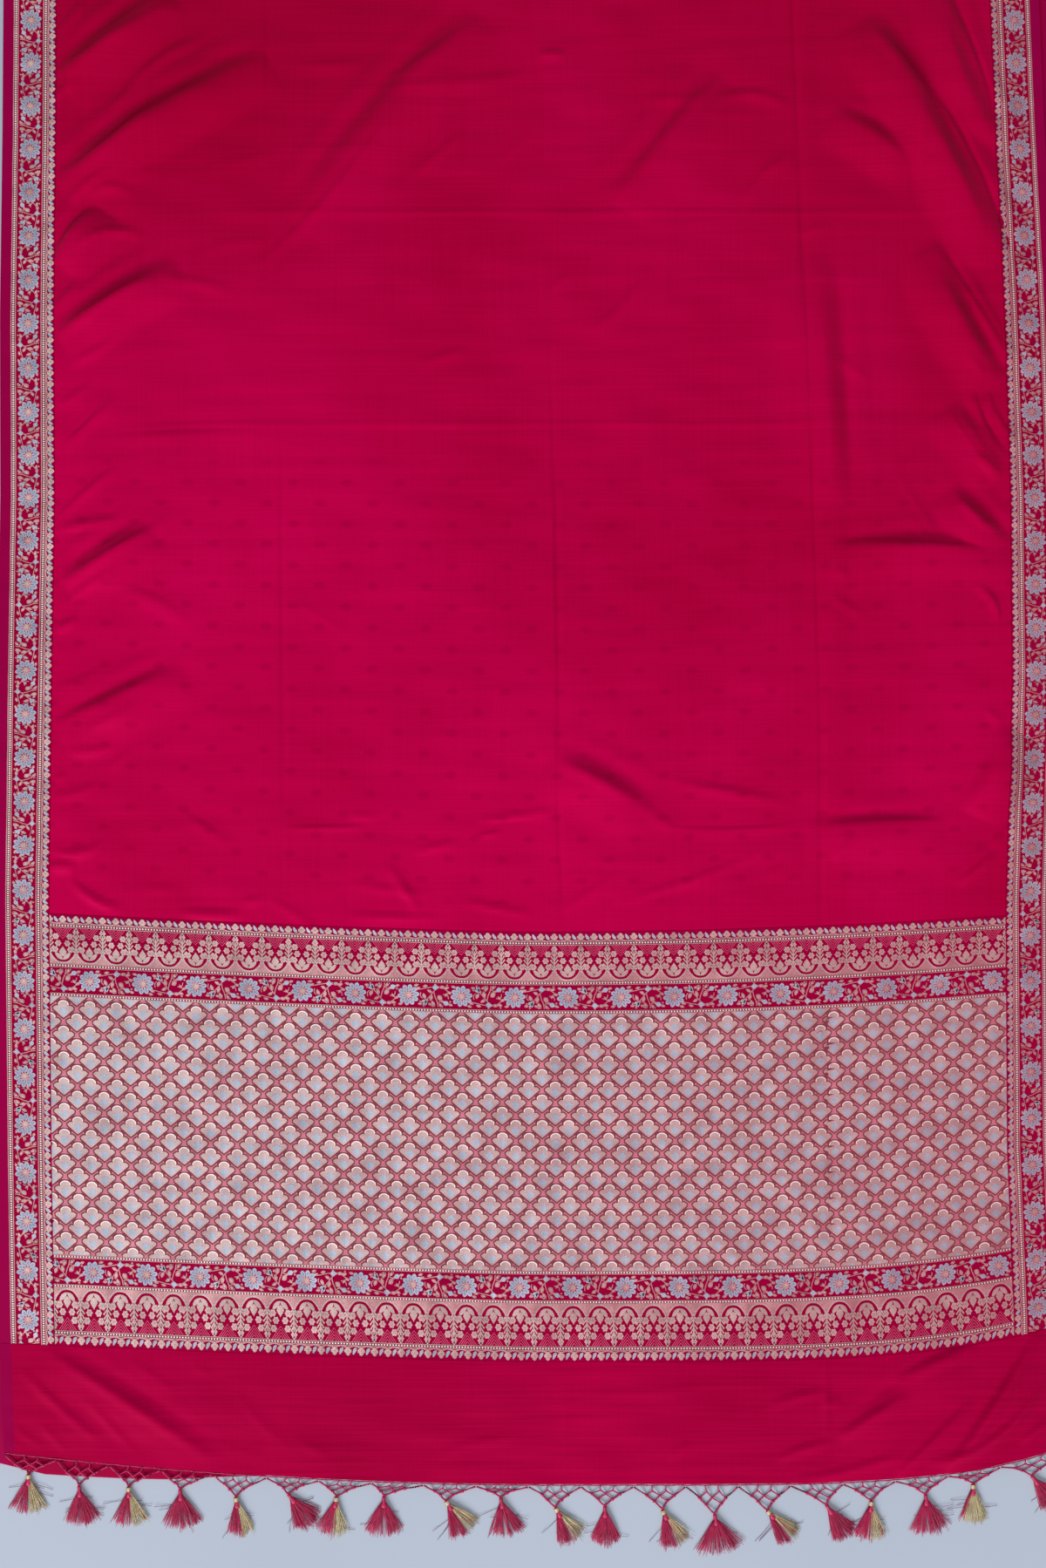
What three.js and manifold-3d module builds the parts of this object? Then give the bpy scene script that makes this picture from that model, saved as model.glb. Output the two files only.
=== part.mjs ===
// A silk saree, folded in three along its length and laid flat, with its woven end and fringe in front.
// Millimetres. X runs across the cloth, Y along it and away from the fringe, Z up from the floor.
import * as THREE from 'three';
import { mergeVertices } from 'three/addons/utils/BufferGeometryUtils.js';
import Module from 'manifold-3d';

// Cloth sizes: u is measured across the cloth from its middle, v along it from the hem.
const leftEdge = -571.5;
const rightEdge = 567.5;
const bodyHalf = 513;
const palluFoot = 129;
const palluHead = 586;
const backFold = 1830;
const seam = 0.3;

// Thicknesses: two hidden layers lie below the top one.
const wall = 1.2;
const hiddenWall = 1.6;
const hiddenGap = 0.4;
const stackTall = 2 * hiddenWall + hiddenGap;
const clothUnder = stackTall + seam;
const clothOver = clothUnder + wall;

// Middle of the whole object, from the same zero as u and v.
const middleX = -0.1;
const middleY = 880.2;

// How far the cloth has crept sideways at its two long edges.
const sideRows = [
  { v: 0, left: 13, right: 3 },
  { v: 150, left: 7.4, right: 2 },
  { v: 330, left: 3.5, right: -4.4 },
  { v: 600, left: -0.9, right: -4.2 },
  { v: 850, left: 0.5, right: 4.6 },
  { v: 1050, left: 2.5, right: 3.5 },
  { v: 1250, left: 0.8, right: -2 },
  { v: 1450, left: 2.3, right: -11.5 },
  { v: 1600, left: 2.4, right: -17 },
  { v: 1830, left: 2, right: -14 },
];

// How far the two sides of a woven line are drawn back from its middle.
const liftRows = [
  { v: 0, left: 37, leftPower: 1.6, right: 42, rightPower: 5 },
  { v: 130, left: 20, leftPower: 1.25, right: 42, rightPower: 4.2 },
  { v: 584, left: 23, leftPower: 1.3, right: 22, rightPower: 2 },
  { v: 1133, left: 0, leftPower: 1.3, right: 0, rightPower: 2 },
  { v: 1830, left: 0, leftPower: 1.3, right: 0, rightPower: 2 },
];

// Soft folds, each a ridge from one end to the other: bow bends it sideways, half is half its width.
const foldRows = [
  { u0: 468, v0: 1610, u1: 522, v1: 1425, bow: 10, half: 26, tall: 6 },
  { u0: 385, v0: 1575, u1: 516, v1: 1312, bow: -14, half: 30, tall: 9 },
  { u0: 440, v0: 1326, u1: 511, v1: 1176, bow: 6, half: 26, tall: 6 },
  { u0: 338, v0: 1474, u1: 436, v1: 1406, bow: 5, half: 24, tall: 4 },
  { u0: -514, v0: 1508, u1: -390, v1: 1604, bow: 8, half: 26, tall: 6 },
  { u0: -513, v0: 1394, u1: -285, v1: 1534, bow: 16, half: 28, tall: 7 },
  { u0: -512, v0: 1230, u1: -384, v1: 1308, bow: 4, half: 25, tall: 6 },
  { u0: -512, v0: 1304, u1: -470, v1: 1368, bow: 4, half: 24, tall: 5 },
  { u0: -258, v0: 1354, u1: -55, v1: 1580, bow: 10, half: 32, tall: 4.5 },
  { u0: 28, v0: 1384, u1: 206, v1: 1514, bow: -6, half: 32, tall: 4 },
  { u0: 322, v0: 1315, u1: 334, v1: 1046, bow: 4, half: 40, tall: 5 },
  { u0: 316, v0: 992, u1: 511, v1: 994, bow: 6, half: 30, tall: 4 },
  { u0: 455, v0: 1154, u1: 510, v1: 1074, bow: 3, half: 24, tall: 4 },
  { u0: 452, v0: 1064, u1: 514, v1: 974, bow: -4, half: 24, tall: 4 },
  { u0: 508, v0: 794, u1: 464, v1: 704, bow: 4, half: 26, tall: 4.5 },
  { u0: -504, v0: 954, u1: -414, v1: 1020, bow: 6, half: 25, tall: 4 },
  { u0: -510, v0: 794, u1: -376, v1: 866, bow: 6, half: 26, tall: 4 },
  { u0: 24, v0: 778, u1: 134, v1: 716, bow: 4, half: 30, tall: 3.5 },
  { u0: 172, v0: 694, u1: 446, v1: 690, bow: 6, half: 32, tall: 3.5 },
  { u0: -526, v0: 127, u1: -338, v1: 14, bow: 5, half: 24, tall: 6 },
  { u0: 428, v0: 3, u1: 546, v1: 122, bow: -5, half: 24, tall: 6 },
  { u0: 314, v0: 36, u1: 450, v1: 128, bow: 6, half: 22, tall: 4 },
];

// Front fold of the hidden layers: how far it reaches beyond the hem above it.
const frontFoldRows = [
  { v: -572, beyond: 11 },
  { v: -540, beyond: 14.8 },
  { v: -424, beyond: 14.3 },
  { v: -378, beyond: 12.5 },
  { v: -331, beyond: 9.2 },
  { v: -285, beyond: 5.1 },
  { v: -240, beyond: -1 },
  { v: -150, beyond: -7 },
  { v: 572, beyond: -8 },
];

// Tassels from left to right: u of the neck, its drop below the hem, its lie and half its fan, in degrees.
const tasselRows = [
  { u: -545.9, drop: 31.6, lean: 0, fan: 26 },
  { u: -491.7, drop: 35.5, lean: 6, fan: 26 },
  { u: -438.4, drop: 33.4, lean: 2, fan: 26 },
  { u: -383.3, drop: 32.4, lean: 4, fan: 28 },
  { u: -323.5, drop: 32.3, lean: 10, fan: 18 },
  { u: -267.5, drop: 24.9, lean: 38, fan: 22 },
  { u: -215.2, drop: 26.1, lean: -8, fan: 22 },
  { u: -164.7, drop: 28, lean: 0, fan: 26 },
  { u: -98.4, drop: 24.3, lean: 34, fan: 24 },
  { u: -39.6, drop: 22.8, lean: 12, fan: 26 },
  { u: 19.2, drop: 27.5, lean: 30, fan: 22 },
  { u: 72.4, drop: 26.6, lean: 2, fan: 22 },
  { u: 134.1, drop: 30.2, lean: 24, fan: 22 },
  { u: 190.1, drop: 32.1, lean: 10, fan: 34 },
  { u: 246.1, drop: 30, lean: 40, fan: 20 },
  { u: 309.6, drop: 24.9, lean: 34, fan: 20 },
  { u: 358.2, drop: 25.2, lean: -2, fan: 24 },
  { u: 416.2, drop: 22.6, lean: 8, fan: 28 },
  { u: 467.6, drop: 22.1, lean: 0, fan: 20 },
  { u: 530.2, drop: 23.4, lean: 38, fan: 20 },
];
const netPitch = 56.2;
const netStrip = 3;
const netWall = 1.2;
const netTip = 1.6;
const gapHalf = 0.098;
const gapReach = 0.2;
const gapTop = 0.03;
const gapMiddle = 0.17;
const netRise = 0.5;
const neckHeight = 3.4;

// Tassel profile: distance from the neck against radius, then its strands.
const headProfile = [
  { s: 0.4, r: 0 },
  { s: 1.8, r: 1.4 },
  { s: 3.4, r: 2.8 },
  { s: 5.6, r: 2.8 },
  { s: 6.6, r: 1.8 },
  { s: 9, r: 1.8 },
  { s: 10.2, r: 2.8 },
  { s: 12, r: 0 },
];
const headSides = 6;
const strandCount = 8;
const strandRoot = 10.2;
const rootSpread = 2.1;
const strandRise = 0.9;
const strandRest = 1.2;
const strandLength = 39;
const strandThick = 0.75;
const fanScatter = 1.5;
const endScatter = 0.06;
const sideShorter = 0.16;
const wrapFrom = 6.9;
const wrapTo = 8.7;
const wrapInner = 2.15;
const wrapOuter = 2.95;
const wrapRound = 0.3;
const wrapSides = 10;
const degree = Math.PI / 180;

const colours = {
  silk: { color: '#a70139', roughness: 0.42 },
  border: { color: '#c8877f', roughness: 0.4, metalness: 0.35 },
  pallu: { color: '#c07f78', roughness: 0.4, metalness: 0.35 },
  end: { color: '#a8003c', roughness: 0.45 },
  thread: { color: '#8f0030', roughness: 0.7 },
  gold: { color: '#b59a5c', roughness: 0.4, metalness: 0.6 },
};

const saree = new THREE.Group();

// Value of one column of a table at v, on straight lines between its rows.
function column(rows, key, v) {
  const last = rows.length - 1;
  const at = THREE.MathUtils.clamp(v, rows[0].v, rows[last].v);
  const next = Math.max(1, rows.findIndex((row) => row.v >= at));
  const a = rows[next - 1];
  const b = rows[next];
  return THREE.MathUtils.lerp(a[key], b[key], (at - a.v) / (b.v - a.v));
}

// Place of a point of the cloth, seen from above.
function place(u, v) {
  const t = u / Math.abs(leftEdge);
  const side = t < 0 ? 'left' : 'right';
  const lift = column(liftRows, side, v) * Math.abs(t) ** column(liftRows, `${side}Power`, v);
  const creep = THREE.MathUtils.lerp(column(sideRows, 'left', v), column(sideRows, 'right', v), (1 + t) / 2);
  return { x: u + creep - middleX, y: v + lift - middleY };
}

// Height of the soft folds over the flat cloth.
function foldHeight(u, v) {
  let height = 0;
  for (const fold of foldRows) {
    const du = fold.u1 - fold.u0;
    const dv = fold.v1 - fold.v0;
    const span = Math.hypot(du, dv);
    const along = ((u - fold.u0) * du + (v - fold.v0) * dv) / span ** 2;
    if (along <= 0 || along >= 1) continue;
    const taper = Math.sin(Math.PI * along);
    const off = ((v - fold.v0) * du - (u - fold.u0) * dv) / span - fold.bow * taper;
    const across = off / fold.half;
    if (Math.abs(across) >= 1) continue;
    height = Math.max(height, fold.tall * taper * (1 - across ** 2) ** 2);
  }
  return height;
}

// One closed body from corner points and triangles, turned so that its faces point out.
function bodyGeometry(points, faces) {
  let volume = 0;
  for (const [a, b, c] of faces) {
    volume += points[a].dot(new THREE.Vector3().crossVectors(points[b], points[c]));
  }
  const turned = volume > 0 ? faces : faces.map(([a, b, c]) => [a, c, b]);
  const geometry = new THREE.BufferGeometry();
  const flat = points.flatMap((p) => [p.x, p.y, p.z]);
  geometry.setAttribute('position', new THREE.Float32BufferAttribute(flat, 3));
  geometry.setIndex(turned.flat());
  return geometry;
}

function addBody(name, geometry, look) {
  const mesh = new THREE.Mesh(geometry, new THREE.MeshStandardMaterial(look));
  mesh.name = name;
  saree.add(mesh);
  return mesh;
}

// Even steps from a to b, both ends included.
function steps(a, b, count) {
  return Array.from({ length: count + 1 }, (_, i) => THREE.MathUtils.lerp(a, b, i / count));
}

// Stations along the cloth: flat ones at a distance v, then those round the back fold, at an angle.
const arcInner = 0.25;
const arcOuter = arcInner + wall;
const arcMiddle = clothUnder - arcInner;
const flatStations = (vs) => vs.map((v) => ({ v, turn: 0 }));
const backStations = [45, 90, 135, 180].map((turn) => ({ v: backFold, turn: turn * degree }));

function clothPoint(u, station, outside) {
  const at = place(u, station.v);
  if (station.turn > 0) {
    const radius = outside ? arcOuter : arcInner;
    const y = at.y + radius * Math.sin(station.turn);
    return new THREE.Vector3(at.x, y, arcMiddle + radius * Math.cos(station.turn));
  }
  return new THREE.Vector3(at.x, at.y, (outside ? clothOver : clothUnder) + foldHeight(u, station.v));
}

// A stretch of cloth as a wall between two surfaces with the same cells, closed by a rim.
function clothGeometry(us, stations) {
  const points = [];
  const faces = [];
  const wide = us.length;
  const sheet = wide * stations.length;
  for (const outside of [true, false]) {
    for (const station of stations) {
      for (const u of us) points.push(clothPoint(u, station, outside));
    }
  }
  for (let row = 0; row < stations.length - 1; row += 1) {
    for (let i = 0; i < wide - 1; i += 1) {
      const a = row * wide + i;
      const d = a + wide;
      faces.push([a, a + 1, d + 1], [a, d + 1, d]);
      faces.push([sheet + a, sheet + d + 1, sheet + a + 1], [sheet + a, sheet + d, sheet + d + 1]);
    }
  }
  const rim = [];
  for (let i = 0; i < wide - 1; i += 1) rim.push(i);
  for (let row = 0; row < stations.length - 1; row += 1) rim.push(row * wide + wide - 1);
  for (let i = wide - 1; i > 0; i -= 1) rim.push((stations.length - 1) * wide + i);
  for (let row = stations.length - 1; row > 0; row -= 1) rim.push(row * wide);
  rim.forEach((a, i) => {
    const b = rim[(i + 1) % rim.length];
    faces.push([a, sheet + a, b], [b, sheet + a, sheet + b]);
  });
  return bodyGeometry(points, faces);
}

// Columns are closer where the folds gather beside the borders, rows as far as the cloth is creased.
const sideFrom = 264;
const creasedTo = 1600;
const bodyColumns = [
  ...steps(-bodyHalf + seam / 2, -sideFrom, 9).slice(0, -1),
  ...steps(-sideFrom, sideFrom, 11),
  ...steps(sideFrom, bodyHalf - seam / 2, 9).slice(1),
];
const leftBorderColumns = steps(leftEdge, -bodyHalf - seam / 2, 2);
const rightBorderColumns = steps(bodyHalf + seam / 2, rightEdge, 2);
const endColumns = [...leftBorderColumns, ...bodyColumns, ...rightBorderColumns];
const palluRows = steps(palluFoot + seam / 2, palluHead - seam / 2, 8);
const shownRows = steps(palluHead + seam / 2, creasedTo, 28);
const hiddenRows = steps(creasedTo, backFold, 3).slice(1);
const fieldStations = [...flatStations([...shownRows, ...hiddenRows]), ...backStations];
const borderStations = [...flatStations([...palluRows, ...shownRows, ...hiddenRows]), ...backStations];
const endStations = flatStations(steps(0, palluFoot - seam / 2, 6));

addBody('field', clothGeometry(bodyColumns, fieldStations), colours.silk);
addBody('border_left', clothGeometry(leftBorderColumns, borderStations), colours.border);
addBody('border_right', clothGeometry(rightBorderColumns, borderStations), colours.border);
addBody('pallu', clothGeometry(bodyColumns, flatStations(palluRows)), colours.pallu);
addBody('plain_end', clothGeometry(endColumns, endStations), colours.end);

// The two hidden layers: height against the inset at the sides and at the back. They join in the front fold.
const stackLeft = -567;
const stackRight = 567.5;
const edgeRows = [
  { z: 0, side: 0.7, back: 7.2 },
  { z: 0.35, side: 0.15, back: 6.4 },
  { z: 0.9, side: 0, back: 6 },
  { z: hiddenWall, side: 0.6, back: 6.8 },
  { z: stackTall / 2, side: 3, back: 9 },
  { z: hiddenWall + hiddenGap, side: 0.6, back: 0 },
  { z: 2.7, side: 0, back: 0 },
  { z: 3.25, side: 0.15, back: 0 },
  { z: stackTall, side: 0.7, back: 0.3 },
];

function stackLoop(edge) {
  const bend = stackTall / 2;
  const front = bend - Math.sqrt(Math.max(0, bend ** 2 - (edge.z - bend) ** 2));
  const left = stackLeft + edge.side;
  const right = stackRight - edge.side;
  const frontY = (u) => place(u, 0).y - column(frontFoldRows, 'beyond', u) + front;
  const backY = backFold - seam - edge.back - middleY;
  const loop = steps(left, right, 26).map((u) => ({ x: u, y: frontY(u) }));
  for (const y of steps(frontY(right), backY, 5).slice(1)) loop.push({ x: right, y });
  for (const y of steps(backY, frontY(left), 5).slice(0, -1)) loop.push({ x: left, y });
  return loop.map((p) => new THREE.Vector3(p.x - middleX, p.y, edge.z));
}

// Rings of equal length joined in turn, with a flat face over the first and the last.
function stackGeometry(loops) {
  const count = loops[0].length;
  const faces = [];
  for (let ring = 0; ring < loops.length - 1; ring += 1) {
    for (let i = 0; i < count; i += 1) {
      const a = ring * count + i;
      const b = ring * count + ((i + 1) % count);
      faces.push([a, b, b + count], [a, b + count, a + count]);
    }
  }
  const top = (loops.length - 1) * count;
  const first = loops[0].map((p) => new THREE.Vector2(p.x, p.y));
  for (const [a, b, c] of THREE.ShapeUtils.triangulateShape(first, [])) {
    faces.push([a, c, b]);
  }
  const last = loops.at(-1).map((p) => new THREE.Vector2(p.x, p.y));
  for (const [a, b, c] of THREE.ShapeUtils.triangulateShape(last, [])) {
    faces.push([top + a, top + b, top + c]);
  }
  return bodyGeometry(loops.flat(), faces);
}

addBody('folded_layers', stackGeometry(edgeRows.map(stackLoop)), colours.silk);

// The knotted net: a strip beside the hem, and a pointed lattice down to each tassel's neck.
function netPoint(u, drop, neckDrop) {
  const hem = place(u, 0);
  const clear = Math.max(netStrip, column(frontFoldRows, 'beyond', u) + 1);
  const fall = THREE.MathUtils.smoothstep(drop, clear, neckDrop);
  const under = THREE.MathUtils.lerp(clothUnder + netRise, neckHeight - netWall / 2, fall);
  return new THREE.Vector3(hem.x, hem.y - drop, under);
}

// A point of one lattice: across counts from its left cusp to its right one, down from the strip to the neck.
function latticePoint(unit, across, down) {
  const shift = unit.neck - (unit.left + unit.right) / 2;
  const u = THREE.MathUtils.lerp(unit.left, unit.right, across) + shift * down;
  const bow = place(unit.neck, 0).y - place(u, 0).y;
  return netPoint(u, THREE.MathUtils.lerp(netStrip, unit.drop, down) - bow * down, unit.drop);
}

const units = tasselRows.map((row, i) => ({
  left: leftEdge + i * netPitch,
  right: i === tasselRows.length - 1 ? rightEdge : leftEdge + (i + 1) * netPitch,
  neck: row.u,
  drop: row.drop,
}));

// Gaps of one lattice: three below the strip, then two, then one.
function latticeGaps(unit) {
  const gaps = [];
  for (let line = 0; line < 3; line += 1) {
    const middle = gapMiddle + line / 4;
    for (let i = 0; i < 3 - line; i += 1) {
      const across = (i + 1 + line / 2) / 4;
      const corners = [[across - gapHalf, middle], [across, middle + gapReach], [across + gapHalf, middle]];
      if (line === 0) {
        corners[0][1] = gapTop * (1 + i);
        corners[2][1] = gapTop * (2.5 + i);
      } else {
        corners.push([across, middle - gapReach]);
      }
      gaps.push(corners.map(([s, d]) => latticePoint(unit, s, d)).reverse());
    }
  }
  return gaps;
}

function netGeometry() {
  const outline = [];
  for (const unit of units) {
    outline.push(netPoint(unit.left, netStrip, unit.drop));
    const tip = latticePoint(unit, 0.5, 1);
    for (const aside of [-netTip, netTip]) outline.push(new THREE.Vector3(tip.x + aside, tip.y, tip.z));
  }
  outline.push(netPoint(rightEdge, netStrip, units.at(-1).drop));
  for (const u of steps(rightEdge, leftEdge, 60)) outline.push(netPoint(u, seam, units[0].drop));
  const gaps = units.flatMap(latticeGaps);
  const flat = (loop) => loop.map((p) => new THREE.Vector2(p.x, p.y));
  const under = [outline, ...gaps].flat();
  const over = under.map((p) => p.clone().setZ(p.z + netWall));
  const faces = [];
  for (const [a, b, c] of THREE.ShapeUtils.triangulateShape(flat(outline), gaps.map(flat))) {
    faces.push([a, c, b], [a + under.length, b + under.length, c + under.length]);
  }
  let first = 0;
  for (const loop of [outline, ...gaps]) {
    loop.forEach((_, i) => {
      const a = first + i;
      const b = first + ((i + 1) % loop.length);
      faces.push([a, b, b + under.length], [a, b + under.length, a + under.length]);
    });
    first += loop.length;
  }
  return bodyGeometry([...under, ...over], faces);
}

addBody('knotted_net', netGeometry(), colours.thread);

// Tassels: made pointing along -Y from a neck at zero, then turned and set at the end of their lattice.
const wasm = await Module();
wasm.setup();

function toManifold(geometry) {
  geometry.deleteAttribute('normal');
  geometry.deleteAttribute('uv');
  const merged = mergeVertices(geometry);
  const vertProperties = new Float32Array(merged.attributes.position.array);
  const triVerts = new Uint32Array(merged.index.array);
  return new wasm.Manifold(new wasm.Mesh({ numProp: 3, vertProperties, triVerts }));
}

function fromManifold(body) {
  const mesh = body.getMesh();
  const geometry = new THREE.BufferGeometry();
  geometry.setAttribute('position', new THREE.BufferAttribute(new Float32Array(mesh.vertProperties), 3));
  geometry.setIndex(new THREE.BufferAttribute(new Uint32Array(mesh.triVerts), 1));
  return geometry;
}

// A steady scatter between -1 and 1 for strand number i of tassel number t.
const scatter = (t, i, kind) => Math.sin(t * 12.9 + i * 7.3 + kind * 4.1);

// A three-sided strand from its root to its tip.
function strandGeometry(root, tip) {
  const heading = new THREE.Vector3().subVectors(tip, root).normalize();
  const side = new THREE.Vector3().crossVectors(heading, new THREE.Vector3(0, 0, 1)).normalize();
  const up = new THREE.Vector3().crossVectors(side, heading);
  const points = [];
  [root, tip].forEach((centre, ring) => {
    const radius = strandThick * (1 - 0.3 * ring);
    for (const angle of [90, 210, 330]) {
      const out = side.clone().multiplyScalar(radius * Math.cos(angle * degree));
      points.push(centre.clone().add(out).addScaledVector(up, radius * Math.sin(angle * degree)));
    }
  });
  const faces = [[0, 2, 1], [3, 4, 5]];
  for (let a = 0; a < 3; a += 1) {
    const b = (a + 1) % 3;
    faces.push([a, b, b + 3], [a, b + 3, a + 3]);
  }
  return bodyGeometry(points, faces);
}

function tasselGeometry(row, t) {
  const profile = headProfile.map((p) => new THREE.Vector2(p.r, -p.s)).reverse();
  let body = toManifold(new THREE.LatheGeometry(profile, headSides));
  for (let i = 0; i < strandCount; i += 1) {
    const share = i / (strandCount - 1);
    const angle = (THREE.MathUtils.lerp(-row.fan, row.fan, share) + fanScatter * scatter(t, i, 1)) * degree;
    const reach = strandLength * (1 - sideShorter * Math.abs(2 * share - 1) + endScatter * scatter(t, i, 2));
    const raised = i % 2 === 0 ? -strandRise : strandRise;
    const aside = rootSpread * (2 * share - 1);
    const root = new THREE.Vector3(aside, -strandRoot, raised);
    const tip = new THREE.Vector3(
      aside + (reach - strandRoot) * Math.tan(angle),
      -reach,
      strandRest + strandThick + raised - neckHeight,
    );
    body = body.add(toManifold(strandGeometry(root, tip)));
  }
  return fromManifold(body);
}

function wrapGeometry() {
  const from = wrapFrom + wrapRound;
  const to = wrapTo - wrapRound;
  const profile = [[wrapInner, wrapFrom], [wrapOuter, from], [wrapOuter, to], [wrapInner, wrapTo]];
  const ring = [...profile, profile[0]].map(([r, s]) => new THREE.Vector2(r, -s)).reverse();
  return new THREE.LatheGeometry(ring, wrapSides);
}

function setAtNeck(mesh, row, unit) {
  const tip = latticePoint(unit, 0.5, 1);
  mesh.position.set(tip.x, tip.y, neckHeight);
  mesh.rotation.z = row.lean * degree;
}

tasselRows.forEach((row, t) => {
  const number = String(t + 1).padStart(2, '0');
  setAtNeck(addBody(`tassel_${number}`, tasselGeometry(row, t), colours.thread), row, units[t]);
  if (t % 2 === 0) setAtNeck(addBody(`gold_wrap_${number}`, wrapGeometry(), colours.gold), row, units[t]);
});

export default saree;
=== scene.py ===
import bpy
import math
import numpy as np
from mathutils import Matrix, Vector


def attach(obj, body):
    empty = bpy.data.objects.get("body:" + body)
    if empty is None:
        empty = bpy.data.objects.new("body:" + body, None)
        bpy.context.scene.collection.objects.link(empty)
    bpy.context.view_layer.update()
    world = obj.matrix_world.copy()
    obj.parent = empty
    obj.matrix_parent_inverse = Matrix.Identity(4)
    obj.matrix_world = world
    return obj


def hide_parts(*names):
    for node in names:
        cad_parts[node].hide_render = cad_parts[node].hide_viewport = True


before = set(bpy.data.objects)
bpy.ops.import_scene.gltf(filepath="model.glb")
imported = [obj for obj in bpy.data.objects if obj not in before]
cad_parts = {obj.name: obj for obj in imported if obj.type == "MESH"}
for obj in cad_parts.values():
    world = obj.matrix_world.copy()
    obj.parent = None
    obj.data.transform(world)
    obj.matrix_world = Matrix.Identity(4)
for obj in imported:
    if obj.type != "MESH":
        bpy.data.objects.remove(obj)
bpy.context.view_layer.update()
mm = 0.001
rng = np.random.default_rng(11)

# Cloth plan, in millimetres: u across the cloth from its middle, v along it from the hem
cloth = dict(leftEdge=-571.5, rightEdge=567.5, reach=571.5, bodyHalf=513.0, palluFoot=129.0, palluHead=586.0,
             backFold=1830.0, over=5.1, thick=0.6, middleX=-0.1, middleY=880.2, creasedTo=1610.0)

# columns: v, creep of the left edge, creep of the right edge
sideRows = [
    (0, 13, 3), (150, 7.4, 2), (330, 3.5, -4.4), (600, -0.9, -4.2), (850, 0.5, 4.6), (1050, 2.5, 3.5),
    (1250, 0.8, -2), (1450, 2.3, -11.5), (1600, 2.4, -17), (1830, 2, -14),
]

# columns: v, lift of the left side, its power, lift of the right side, its power
liftRows = [
    (0, 34, 1.9, 42, 5), (130, 20, 1.25, 42, 4.2), (584, 23, 1.3, 22, 2), (1133, 0, 1.3, 0, 2),
    (1830, 0, 1.3, 0, 2),
]

# Soft folds that the solid has too. columns: u0, v0, u1, v1, bow, half width, height
foldRows = [
    (462, 1612, 518, 1438, -8, 26, 6), (385, 1575, 516, 1312, 6, 30, 9), (440, 1326, 511, 1176, -5, 26, 6),
    (338, 1474, 436, 1406, 5, 24, 4), (-514, 1508, -390, 1604, 4, 26, 6),
    (-513, 1394, -285, 1534, 12, 28, 7), (-512, 1230, -384, 1308, 4, 25, 6),
    (-512, 1304, -470, 1368, 4, 24, 5), (-258, 1354, -55, 1580, 10, 32, 4.5),
    (90, 1376, 206, 1514, -6, 32, 4), (322, 1315, 334, 1046, -2, 34, 4), (316, 996, 511, 998, 4, 28, 4),
    (455, 1154, 510, 1074, 3, 24, 4), (452, 1064, 514, 1000, -4, 24, 4), (508, 794, 464, 704, 4, 26, 4.5),
    (-504, 954, -414, 1020, 4, 25, 4), (-510, 794, -376, 866, -1, 26, 4), (24, 778, 134, 716, 4, 30, 3.5),
    (296, 694, 446, 692, 2, 28, 3.5), (-526, 127, -338, 14, 5, 24, 1.5), (436, 3, 540, 134, -5, 24, 2.8),
    (314, 36, 450, 128, 6, 22, 2),
]

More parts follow.
